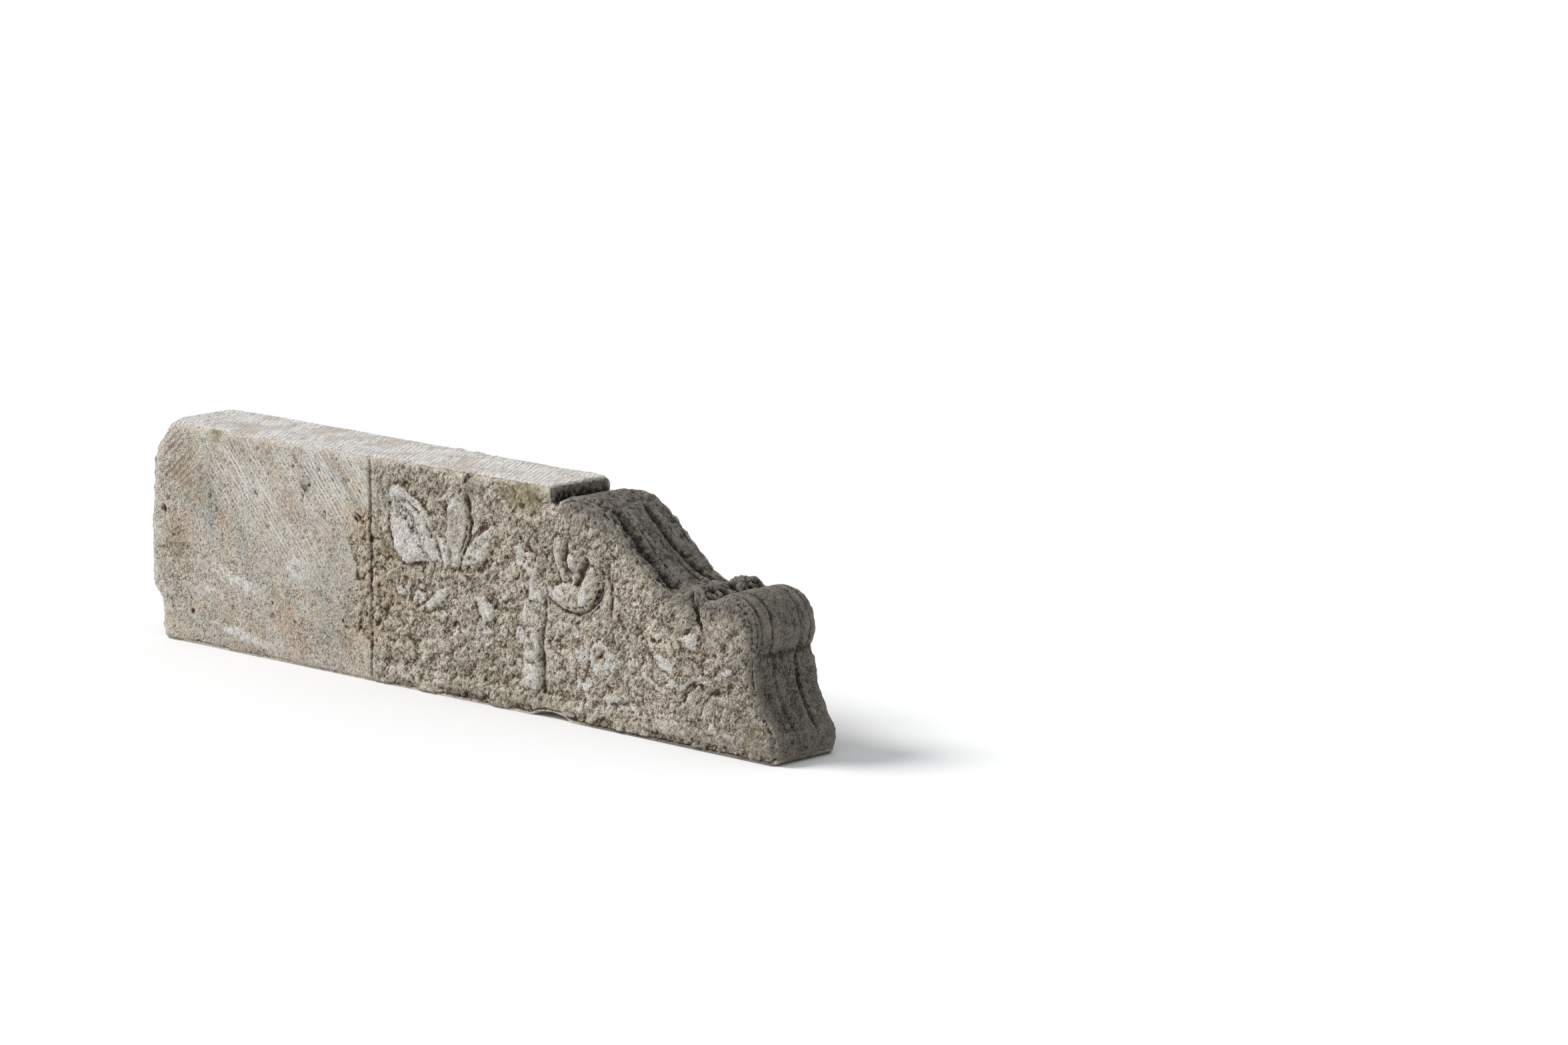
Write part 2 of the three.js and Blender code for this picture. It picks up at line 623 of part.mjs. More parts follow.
// The whole stone: blank, carved sides, then wear.
function corbelStone() {
  const scribedLine = [[TAIL_LENGTH, -SCRIBE_OVERRUN], [TAIL_LENGTH, STONE_HEIGHT + SCRIBE_OVERRUN]];
  let stone = tailBlock().add(carvedHead());
  for (const side of [-1, 1]) {
    for (const [from, to] of [[TAIL_LENGTH, BED_LENGTH], [BED_LENGTH, STONE_LENGTH + BASE_BAND]])
      stone = stone.subtract(recess(panel(from, to), 0, side, 0));
    const near = [mortarRing, bowedGrooves];
    const both = [palmette, volute, strip, rollEnd];
    const pieces = (side < 0 ? [...both, ...near] : both).map((make) => make(side));
    for (const { raised } of pieces) for (const one of raised) stone = stone.add(one);
    for (const { sunk } of pieces) for (const one of sunk) stone = stone.subtract(one);
    const scribe = ribbon(scribedLine, SCRIBE_WIDTH, 2);
    stone = stone.subtract(recess(scribe, SCRIBE_DEPTH - FIELD_SINK, side));
  }
  for (const cut of breaks()) stone = stone.subtract(cut);
  return stone;
}

const carved = corbelStone().getMesh();
const geometry = new THREE.BufferGeometry();
geometry.setAttribute("position", new THREE.BufferAttribute(carved.vertProperties, 3));
geometry.setIndex(new THREE.BufferAttribute(carved.triVerts, 1));
geometry.computeBoundingBox();
const middle = geometry.boundingBox.getCenter(new THREE.Vector3());
geometry.translate(-middle.x, -middle.y, -geometry.boundingBox.min.z);

const sandstone = new THREE.MeshStandardMaterial({
  color: 0x9c9484,
  roughness: 0.95,
  metalness: 0,
  flatShading: true,
});
const stone = new THREE.Mesh(geometry, sandstone);
stone.name = "corbel_stone";

const corbel = new THREE.Group();
corbel.add(stone);

export default corbel;
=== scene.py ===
import math

import bpy
import numpy as np
from mathutils import Euler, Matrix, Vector


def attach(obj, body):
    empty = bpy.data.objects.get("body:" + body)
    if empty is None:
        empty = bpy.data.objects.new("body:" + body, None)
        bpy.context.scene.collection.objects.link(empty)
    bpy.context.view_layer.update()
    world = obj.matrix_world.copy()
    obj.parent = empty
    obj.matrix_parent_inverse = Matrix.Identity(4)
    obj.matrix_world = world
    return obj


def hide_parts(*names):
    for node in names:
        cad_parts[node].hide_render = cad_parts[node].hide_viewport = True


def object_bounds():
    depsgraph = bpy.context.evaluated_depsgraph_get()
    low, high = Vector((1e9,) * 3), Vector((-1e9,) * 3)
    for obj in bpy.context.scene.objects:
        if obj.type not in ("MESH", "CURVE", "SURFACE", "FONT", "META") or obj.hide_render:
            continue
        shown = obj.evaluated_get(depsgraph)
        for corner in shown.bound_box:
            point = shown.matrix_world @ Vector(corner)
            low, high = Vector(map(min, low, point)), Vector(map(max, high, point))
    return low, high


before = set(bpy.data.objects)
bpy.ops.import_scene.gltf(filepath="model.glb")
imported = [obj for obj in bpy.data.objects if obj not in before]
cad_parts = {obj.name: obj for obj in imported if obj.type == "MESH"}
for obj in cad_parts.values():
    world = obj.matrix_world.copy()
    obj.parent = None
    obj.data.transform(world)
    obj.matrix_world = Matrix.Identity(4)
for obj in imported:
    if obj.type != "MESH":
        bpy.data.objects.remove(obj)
cad_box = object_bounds()

# The blank: one block of pale sandstone, dressed to two flat beds and cut to its profile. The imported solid
# is meshed again in small even squares, so that carving and weather can be worked into its skin.
# Places are in millimetres: along from the tail's lower end, across (the near side is negative), and up.
MILLIMETRES = 1000.0
FORM_STEP = 0.0027
SKIN_STEP = 0.0022
SAME_POINT = 1e-5
BED_HEIGHT = 340
SCRIBED_LINE = 466
STEP = 842
TOE = 1288
TAIL_END = (TOE - MILLIMETRES * cad_box[1][0], 0.0, 0.0)

bpy.ops.object.select_all(action="DESELECT")
corbel = bpy.data.objects.new("weathered_corbel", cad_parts["corbel_stone"].data.copy())
bpy.context.scene.collection.objects.link(corbel)
bpy.context.view_layer.objects.active = corbel
corbel.select_set(True)
corbel.data.materials.clear()
bpy.ops.object.mode_set(mode="EDIT")
bpy.ops.mesh.select_all(action="SELECT")
bpy.ops.mesh.remove_doubles(threshold=SAME_POINT)
bpy.ops.object.mode_set(mode="OBJECT")


def meshed_evenly(step):
    """Covers the block with a new skin of even squares."""
    skin = corbel.modifiers.new("skin", "REMESH")
    skin.mode = "VOXEL"
    skin.voxel_size = step
    bpy.ops.object.modifier_apply(modifier=skin.name)


def surface():
    """The skin's points, and the way that each faces."""
    places = np.empty(len(corbel.data.vertices) * 3)
    facing = np.empty_like(places)
    corbel.data.vertices.foreach_get("co", places)
    corbel.data.vertex_normals.foreach_get("vector", facing)
    return places.reshape(-1, 3) * MILLIMETRES + TAIL_END, facing.reshape(-1, 3)


def move_surface(places):
    """Moves the skin's points, never out of the block that the stone was cut from."""
    metres = (places - TAIL_END) / MILLIMETRES
    corbel.data.vertices.foreach_set("co", np.clip(metres, *map(np.array, cad_box)).ravel())
    corbel.data.update()


def eased(values, times):
    """Each point's values, evened out with those of its neighbours."""
    ends = np.empty(len(corbel.data.edges) * 2, np.int64)
    corbel.data.edges.foreach_get("vertices", ends)
    here, there = ends.reshape(-1, 2).T
    count = len(values)
    from_, to = np.concatenate([here, there]), np.concatenate([there, here])
    shares = np.bincount(to, minlength=count)[:, None]
    for _ in range(times):
        sums = [np.bincount(to, weights=column[from_], minlength=count) for column in values.T]
        values = 0.4 * values + 0.6 * np.stack(sums, axis=1) / shares
    return values


def rising(low, high, value):
    """0 up to low, 1 from high on, and smooth between."""
    share = np.clip((value - low) / (high - low), 0, 1)
    return share * share * (3 - 2 * share)


def lumps(places, size, seed):
    """Smooth random heights, about -1 to 1, in lumps of one size."""
    slopes = np.random.default_rng(seed).normal(size=(4096, 3))
    slopes /= np.linalg.norm(slopes, axis=1, keepdims=True)
    low = np.floor(places / size).astype(np.int64)
    inside = places / size - low
    share = inside**3 * (inside * (inside * 6 - 15) + 10)
    height = np.zeros(len(places))
    for corner in np.ndindex(2, 2, 2):
        weight = np.where(corner, share, 1 - share).prod(axis=1)
        x, y, z = ((low + corner) * (73856093, 19349663, 83492791)).T
        mixed = x ^ y ^ z
        height += weight * ((inside - corner) * slopes[(mixed ^ (mixed >> 13)) % len(slopes)]).sum(axis=1)
    return 1.6 * height


def half_width(along):
    """Half of the stone's thickness: it narrows from the tail to the step."""
    return np.interp(along, [0, STEP, TOE], [73.5, 62.5, 63.5])


# The carving on both sides: a palmette, a volute and an upright strip in low relief, cut by hand out of the
# sunk ground. Much of it has weathered away, and the parts that last stand a few millimetres proud.
GROUND_SINK = 2
BASE_BAND = 36
CARVING_END = 965
HEAD_SIDES = 960
CARVING_SHARE = 1.1
HEAD_LINE_SHARE = 0.6
HEAD_HOLE_SHARE = 0.5
FAR = 1e9
# outline (along, up), height over the ground, how wide its sloping edge is, and how little it has weathered
FORMS = [
    ([(513, 262), (514, 299), (526, 303), (545, 294), (566, 285), (584, 273), (596, 258), (601, 245),
      (600, 233), (611, 216), (618, 200), (598, 199), (545, 190), (537, 195), (521, 212), (516, 235)],
      2.4, 1.5, 0.5),
    ([(521, 282), (540, 279), (556, 266), (568, 244), (576, 226), (560, 236), (548, 250), (532, 257),
      (520, 258)], -2.4, 1.5, 0.4),
    ([(516, 250), (534, 257), (549, 247), (563, 231), (578, 214), (586, 205), (562, 195), (545, 191),
      (537, 195), (521, 212), (516, 228)], 2.6, 0.6, 0.9),
    ([(515, 290), (516, 301), (527, 302), (545, 293), (566, 284), (584, 272), (596, 257), (590, 258),
      (572, 273), (552, 283), (532, 288)], 2.2, 1.0, 0.7),
    ([(640, 197), (632, 215), (630, 240), (630, 265), (635, 285), (646, 300), (657, 302), (668, 293),
      (674, 275), (675, 255), (671, 238), (664, 220), (656, 203)], 4.5, 3.5, 0.9),
    ([(639, 215), (637, 260), (643, 285), (655, 292), (665, 280), (668, 258), (662, 230), (652, 212)],
      -1.2, 5.0, 0.9),
    ([(660, 202), (670, 222), (684, 240), (700, 253), (720, 265), (730, 262), (727, 246), (720, 228),
      (706, 211), (686, 202)], 3.5, 2.5, 0.5),
    ([(668, 206), (682, 226), (700, 244), (722, 256), (718, 246), (704, 230), (690, 212)], -1.8, 1.5, 0.5),
    ([(610, 236), (628, 234), (636, 215), (640, 199), (626, 196), (618, 214)], 2.5, 2.0, 0.5),
    ([(572, 126), (590, 137), (602, 151), (622, 162), (645, 167), (640, 158), (622, 148), (606, 134),
      (588, 127)], 1.4, 3.0, 0.4),
    ([(840, 178), (846, 196), (862, 202), (880, 203), (898, 197), (906, 205), (914, 222), (922, 238),
      (934, 240), (941, 226), (944, 212), (938, 196), (925, 182), (908, 170), (890, 165), (870, 168),
      (852, 172)], 4.5, 2.0, 0.5),
    ([(852, 262), (849, 246), (850, 232), (858, 218), (866, 208), (876, 210), (870, 222), (866, 236),
      (866, 250), (868, 262), (860, 266)], 5.0, 2.0, 0.5),
    ([(878, 246), (876, 234), (882, 223), (891, 220), (897, 228), (900, 240), (896, 250), (886, 252)],
      6.0, 3.0, 0.8),
    ([(915, 205), (938, 212), (944, 230), (940, 252), (925, 262), (915, 250), (922, 232)], 2.5, 6.0, 0.3),
    ([(786, 36), (786, 75), (789, 122), (786, 165), (800, 170), (816, 166), (815, 125), (821, 95),
      (820, 36)], 2.0, 4.0, 0.15),
    ([(796, 172), (800, 215), (815, 212), (828, 190), (822, 170)], 2.5, 2.0, 0.3),
    ([(690, 158), (703, 160), (724, 150), (722, 128), (706, 124), (694, 140)], 2.5, 1.5, 0.3),
    ([(806, 262), (818, 268), (830, 255), (822, 240), (806, 246)], 1.8, 3.0, 0.3),
]
# line (along, up), width and depth
GROOVES = [
    ([(669, 304), (675, 285), (678, 262), (675, 242), (667, 222), (658, 203), (655, 196)], 4.5, 5.0),
    ([(530, 286), (547, 281), (567, 272), (586, 258), (595, 243)], 3.5, 2.5),
    ([(536, 255), (550, 245), (564, 229), (579, 211), (588, 203)], 4.0, 2.5),
    ([(540, 188), (556, 189), (574, 192)], 5.0, 2.5),
    ([(826, 36), (825, 75), (823, 118), (829, 150), (831, 172)], 7.0, 4.0),
    ([(846, 250), (847, 236), (853, 224)], 5.0, 3.5),
    ([(838, 175), (852, 168), (878, 161), (900, 161), (918, 170), (932, 182), (943, 196), (948, 212)],
     7.0, 4.5),
    ([(934, 184), (944, 198)], 14.0, 4.0),
    ([(873, 262), (872, 246), (876, 230), (884, 218)], 6.0, 4.0),
    ([(914, 240), (905, 228), (900, 214), (896, 203)], 13.0, 5.5),
    ([(956, 240), (958, 222), (966, 204), (966, 188), (963, 168)], 8.0, 3.0),
    ([(817, 251), (814, 259), (807, 262), (799, 258), (796, 250), (800, 242), (808, 240), (815, 244)],
     4.0, 2.0),
    ([(655, 92), (668, 90), (681, 94)], 3.0, 1.5),
    ([(722, 70), (723, 98), (722, 118)], 4.0, 1.5),
]
# the same on the head, where the ground's own shape stays
HEAD_LINES = [
    ([(1122, 222), (1126, 205), (1134, 186), (1140, 172)], 10.0, -5.0),
    ([(1067, 216), (1071, 195), (1062, 172)], 6.0, -2.5),
    ([(1211, 219), (1230, 206), (1239, 186), (1236, 163)], 6.0, -3.0),
    ([(1098, 68), (1104, 84), (1116, 95), (1134, 102)], 5.0, 3.0),
    ([(1130, 56), (1137, 74), (1152, 88), (1174, 99)], 5.0, 2.5),
    ([(1106, 66), (1113, 80), (1124, 89), (1140, 94)], 8.0, -3.0),
    ([(1138, 52), (1147, 70), (1160, 82), (1180, 91)], 8.0, -3.0),
    ([(1040, 148), (1052, 142), (1062, 150)], 8.0, -3.0),
    ([(968, 230), (962, 205), (964, 180)], 8.0, -2.0),
]
# hole's middle, radius and depth
HEAD_HOLES = [(1208, 174, 17, 3.5), (1224, 203, 12, 3), (1190, 150, 12, 2.5), (1165, 195, 10, 2.5),
              (1046, 145, 7, 4), (1140, 92, 8, 3), (1012, 150, 8, 2.5)]
HOLES = [(812, 187, 5, 6), (940, 108, 5, 6), (783, 303, 8, 4), (940, 202, 4, 3), (598, 234, 7, 3),
         (725, 148, 5, 3), (510, 272, 5, 3), (918, 232, 6, 3)]


def beside(line, along, up):
    """How far points lie from a line."""
    nearest = np.full(len(along), FAR)
    for (ax, az), (bx, bz) in zip(line, line[1:]):
        run, rise = bx - ax, bz - az
        share = np.clip(((along - ax) * run + (up - az) * rise) / (run * run + rise * rise), 0, 1)
        nearest = np.minimum(nearest, np.hypot(along - ax - share * run, up - az - share * rise))
    return nearest


def within(outline, along, up):
    """How far points lie inside an outline, and less than 0 outside it."""
    closed = outline + outline[:1]
    nearest = beside(closed, along, up)
    odd = np.zeros(len(along), bool)
    for (ax, az), (bx, bz) in zip(closed, closed[1:]):
        if az != bz:
            odd ^= ((az > up) != (bz > up)) & (along < ax + (bx - ax) * (up - az) / (bz - az))
    return np.where(odd, nearest, -nearest)


def carving(along, up):
    """How far the carving stands out of the ground at places on a side."""
    height = np.zeros(len(along))
    for outline, rise, edge, _ in FORMS:
        height += CARVING_SHARE * rise * rising(-edge - 1, edge + 1, within(outline, along, up))
    for line, width, depth in GROOVES:
        height -= depth * (1 - rising(width / 8, width / 2 + 1, beside(line, along, up)))
    for x, z, radius, depth in HOLES:
        height -= depth * (1 - rising(radius / 2, radius, np.hypot(along - x, up - z)))
    return height


def head_carving(along, up):
    """What stands out of, or is sunk in, the head's sides."""
    height = np.zeros(len(along))
    for line, width, rise in HEAD_LINES:
        height += HEAD_LINE_SHARE * rise * (1 - rising(0, width / 2 + 1, beside(line, along, up)))
    for x, z, radius, depth in HEAD_HOLES:
        height -= HEAD_HOLE_SHARE * depth * (1 - rising(radius / 3, radius, np.hypot(along - x, up - z)))
    return height


def calm(along, up):
    """How little the carving has weathered at places on a side."""
    share = np.zeros(len(along))
    for outline, _, edge, kept_share in FORMS:
        share = np.maximum(share, kept_share * rising(0, edge + 2, within(outline, along, up)))
    for line, width, _ in GROOVES:
        share = np.maximum(share, 0.5 * (1 - rising(width / 2, width / 2 + 5, beside(line, along, up))))
    return share


def sunk_lines(along, up):
    """How near places on a side are to the bottom of a groove, from 0 to 1."""
    share = np.zeros(len(along))
    for line, width, _ in GROOVES:
        share = np.maximum(share, 1 - rising(0, width / 2 + 1, beside(line, along, up)))
    return share


meshed_evenly(FORM_STEP)
places, facing = surface()
warped = places.copy()
for seed, reach, size in ((1, 2.4, 14), (3, 1.4, 6)):
    warped[:, 0] += reach * lumps(places, size, seed)
    warped[:, 2] += reach * lumps(places, size, seed + 1)
ground = half_width(places[:, 0]) - GROUND_SINK
low_of_bed = np.interp(places[:, 0], [STEP - 4, STEP + 4, 900, CARVING_END], [BED_HEIGHT - 6, 300, 300, 270])
carved = (places[:, 0] > SCRIBED_LINE + 6) & (places[:, 0] < CARVING_END) & (places[:, 2] > BASE_BAND)
carved &= (places[:, 2] < low_of_bed) & (np.abs(places[:, 1]) > ground - 6)
carved_height = carving(warped[carved, 0], warped[carved, 2])
places[carved, 1] = np.sign(places[carved, 1]) * (ground[carved] + carved_height)
move_surface(places)

# The weathered skin: rain and frost have eaten the carved ground into crumbs and pits, while the plain tail
# kept its dressed faces. Arrises are worn round, with chips out of them.
BED_EDGE = 325
ARRIS_REACH = (9, 15)
CREASE_HEIGHT = 148
meshed_evenly(SKIN_STEP)
places, facing = surface()
along, across, up = places.T
broad_facing = eased(facing, 4)
broad_facing /= np.linalg.norm(broad_facing, axis=1, keepdims=True)
bulge = ((places - eased(places, 12)) * broad_facing).sum(axis=1)
inset = half_width(along) - np.abs(across)
side = rising(0.35, 0.7, np.abs(broad_facing[:, 1])) * (1 - rising(*ARRIS_REACH, inset))
under = rising(0.5, 0.8, -broad_facing[:, 2]) * (up < 30)
bed = rising(0.6, 0.85, broad_facing[:, 2]) * (up > BED_EDGE) * (along < STEP + 4)
tail_end = rising(0.5, 0.8, -broad_facing[:, 0]) * (along < 50)
rest = (1 - side) * (1 - under)
head = rest * rising(STEP - 3, STEP + 1, along) * (1 - bed)
crumbling = 28 + 30 * lumps(places, 38, 50) + 10 * lumps(places, 14, 56)
crumbling *= rising(45, 80, up) * (1 - rising(225, 265, up))
field = side * rising(SCRIBED_LINE - 8, SCRIBED_LINE + 6, along + crumbling + 5 * lumps(places, 30, 5))
tail = side - field
streak = np.array([1, 0, 1]) / math.sqrt(2)
streaked = places - 0.35 * np.outer(places @ streak, streak)
for seed, reach, size in ((21, 6, 30), (24, 2.5, 11)):
    streaked += reach * np.stack([lumps(places, size, seed + i) for i in range(3)], axis=1)

on_side = side > 0.3
unworn = np.zeros(len(places))
unworn[on_side] = calm(along[on_side], up[on_side])
unworn = np.maximum(unworn, 0.75 * side * (1 - rising(485, 525, along)) * rising(235, 275, up))
head_side = on_side & (along > HEAD_SIDES)
skin = np.zeros(len(places))
skin[head_side] = head_carving(along[head_side] + 3 * lumps(places[head_side], 14, 1),
                               up[head_side] + 3 * lumps(places[head_side], 14, 2))


def rugged(places, steps, seed):
    """Rough random heights: lumps of several sizes, each given with its height."""
    return sum(height * lumps(places, size, seed + i) for i, (size, height) in enumerate(steps))


def crumbled(places, steps, seed):
    """Heights of round crumbs of several sizes, with sharp valleys between them."""
    return sum(height * (2.2 * np.abs(lumps(places, size, seed + i)) - 0.5)
               for i, (size, height) in enumerate(steps))


upper_arris = np.clip(1 - side - bed, 0, 1) * rising(SCRIBED_LINE - 6, SCRIBED_LINE + 8, along)
upper_arris *= rising(300, 315, up) * (1 - rising(STEP - 8, STEP - 3, along))
patchy = 0.55 + 0.45 * rising(-0.35, 0.3, lumps(places, 70, 22))
ground_lumps = rugged(streaked, [(80, 1.5), (40, 1.7), (20, 1.0)], 60)
ground_lumps += crumbled(streaked, [(28, 1.2), (15, 0.85), (9, 0.75), (6, 0.6)], 65)
pits = 2.4 * rising(0.3, 0.8, lumps(streaked, 24, 7)) + 1.5 * rising(0.3, 0.7, lumps(streaked, 11, 10))
fine_lumps = rugged(places, [(60, 0.5), (24, 0.35), (11, 0.25), (5.5, 0.2)], 70)
sparse_pits = 0.9 * rising(0.5, 0.7, lumps(places, 7, 12)) + 1.2 * rising(0.6, 0.75, lumps(places, 15, 13))
ground_lumps *= 1 - 0.35 * rising(HEAD_SIDES, 1080, along)
skin += field * (1 - 0.85 * unworn) * (ground_lumps - 0.75 * pits * patchy + 1.0)
skin += field * (1 - rising(480, 530, along))
skin += upper_arris * (1.2 * ground_lumps - pits * patchy - 0.8)
skin += tail * (fine_lumps - sparse_pits)
skin += bed * (fine_lumps - 0.6 * sparse_pits - 0.4)
skin += head * (0.5 * ground_lumps - 0.25 * pits)
skin += tail_end * (1.5 * ground_lumps - 0.8 * pits)

eaten = field * (1 - rising(SCRIBED_LINE - 2, SCRIBED_LINE + 8, along))
skin -= eaten * 3.6
pit_band = 0.5 * tail * rising(425, 445, along)
pit_band += side * (along > SCRIBED_LINE) * (1 - rising(480, 505, along))
pit_band *= rising(50, 80, up) * (1 - rising(255, 285, up))
skin -= pit_band * (1.3 * rising(0.05, 0.45, lumps(places, 7.5, 14))
                    + 0.8 * rising(0.2, 0.5, lumps(places, 13, 15)))
TAIL_HOLES = [(439, 242, 10, 4), (450, 237, 5, 3), (357, 304, 5, 3), (300, 303, 4, 2), (326, 272, 8, 2),
              (336, 279, 5, 2), (355, 197, 5, 3), (348, 205, 9, 1), (8, 203, 9, 3), (19, 220, 7, 2),
              (70, 51, 6, 3), (470, 215, 9, 3), (480, 92, 9, 3), (486, 110, 8, 3), (455, 100, 6, 2),
              (404, 83, 4, 2), (412, 75, 4, 2), (440, 78, 4, 2), (388, 218, 4, 2), (250, 88, 3, 2),
              (115, 235, 6, 1.5), (452, 184, 6, 2)]
for x, z, radius, depth in TAIL_HOLES:
    off = np.hypot(along - x + 2.5 * lumps(places, 9, 29), up - z)
    skin -= side * depth * (1 - rising(radius / 3, radius, off))
off = np.abs(along - SCRIBED_LINE + 1.5 * lumps(places, 40, 16))
scribed = side * (0.5 + 0.5 * lumps(places, 25, 30)) * (1 - rising(0.5, 3, off))
skin -= 1.1 * scribed
# From here, scribed is how dark the line is painted: painted shade in the scribed groove.
scribed *= 0.3 + 0.5 * rising(215, 245, up) + 0.3 * (1 - rising(60, 90, up))

arris = rising(0.3, 1.5, bulge)
far_rim = rest * rising(STEP, STEP + 40, along) * (1 - rising(1090, 1130, along)) * rising(30, 50, across)
chips = 4.5 * np.clip(lumps(places, 38, 17), 0, 1) + 3.5 * np.abs(lumps(places, 13, 18)) + fine_lumps
chips += 3.5 * np.abs(lumps(places, 22, 48)) * rising(SCRIBED_LINE, SCRIBED_LINE + 40, along)
skin -= arris * (0.9 + np.clip(chips, 0, 6))
foot = side * (1 - rising(6, 22, up)) * (0.4 + 0.6 * rising(480, 600, along))
skin -= foot * (1 - rising(-0.1, 0.45, -lumps(places * (1, 1, 0), 55, 23))) * 5
skin -= foot * 3.0 * np.abs(lumps(places * (1, 1, 0.4), 16, 51))
skin -= far_rim * (1.0 + 3.5 * lumps(places, 24, 19) + 2.5 * np.abs(lumps(places, 12, 20)))
ogee = rising(860, 900, along) * (1 - rising(1070, 1100, along))
near_rim = rest * ogee * rising(34, 48, -across) * (1 - bed)
skin += near_rim * (crumbled(places, [(30, 3.6), (15, 3.0), (8, 1.4)], 25) - 1.6)
skin -= arris * ogee * (across < 0) * (1.5 + 5.0 * np.abs(lumps(places, 20, 49)))
skin += head * ogee * crumbled(places, [(22, 1.1), (11, 0.9)], 45)
stub = head * rising(1088, 1098, along) * (1 - rising(1148, 1160, along))
skin += stub * (crumbled(places, [(24, 4.0), (11, 3.0)], 53) - 2.2)
LEAF_GAPS = [-36, 6, 33]
for middle in LEAF_GAPS:
    skin -= 6 * stub * (1 - rising(1.5, 6, np.abs(across - middle + 4 * lumps(places, 18, 59))))
riser = rising(0.5, 0.8, broad_facing[:, 0]) * (np.abs(along - STEP) < 8) * (up > 300)
skin += riser * (crumbled(places, [(16, 1.8), (8, 1.2)], 57) - 1.4)
skin -= arris * (np.abs(along - STEP) < 12) * (up > BED_EDGE) * (1 + 4.5 * np.abs(lumps(places, 13, 58)))
toe_front = np.interp(up, [0, 40, 60, 80, 100, 140, 160, 200, 222],
                      [TOE, 1284, 1268, 1256, 1248, 1240, 1246, 1246, 1225])
toe_margin = side * (across < 0) * rising(-48, -8, along - toe_front) * (up > 45)
skin += toe_margin * (crumbled(places, [(14, 1.6), (8, 1.5)], 61) - 1.8)
toe_arris = arris * (across < 0) * rising(1140, 1180, along) * (up > 45)
skin -= toe_arris * (1.0 + 5.0 * np.abs(lumps(places, 17, 54)) + 3.0 * np.abs(lumps(places, 8, 55)))

# the fine grooves down the roll and the hollow below it: place across, width and depth
ROLL_LINES = [(-50, 6, 1.8), (-29, 5, 1.3), (27, 5, 1.2), (46, 5, 1.4)]
HOLLOW_LINES = [(-17, 9, 0.7), (24, 12, 0.8)]
on_roll = head * rising(1150, 1162, along) * rising(CREASE_HEIGHT, CREASE_HEIGHT + 4, up)
in_hollow = head * rising(1200, 1210, along) * rising(36, 46, up)
in_hollow *= 1 - rising(CREASE_HEIGHT - 4, CREASE_HEIGHT, up)
front_lines = np.zeros(len(places))
for share, lines in ((on_roll, ROLL_LINES), (in_hollow, HOLLOW_LINES)):
    for middle, width, depth in lines:
        off = np.abs(across - middle + 1.2 * lumps(places, 30, 27))
        sunk = share * (1 - rising(width / 6, width / 2 + 1, off))
        skin -= depth * sunk
        front_lines = np.maximum(front_lines, sunk)
off = np.abs(up - CREASE_HEIGHT + lumps(places, 40, 28))
crease = head * rising(1200, 1215, along) * (1 - rising(1, 4.5, off))
skin -= 0.4 * crease
front_lines = 0.45 * front_lines * np.where(up > CREASE_HEIGHT, 1, 0.15)

rounded = rising(-70, -10, -along) * rising(180, 250, up) + 0.6 * rising(STEP - 12, STEP - 4, along) * bed
places += (eased(places, 30) - places) * np.clip(rounded, 0, 1)[:, None]
move_surface(places + broad_facing * (skin * (1 - 0.8 * under))[:, None])

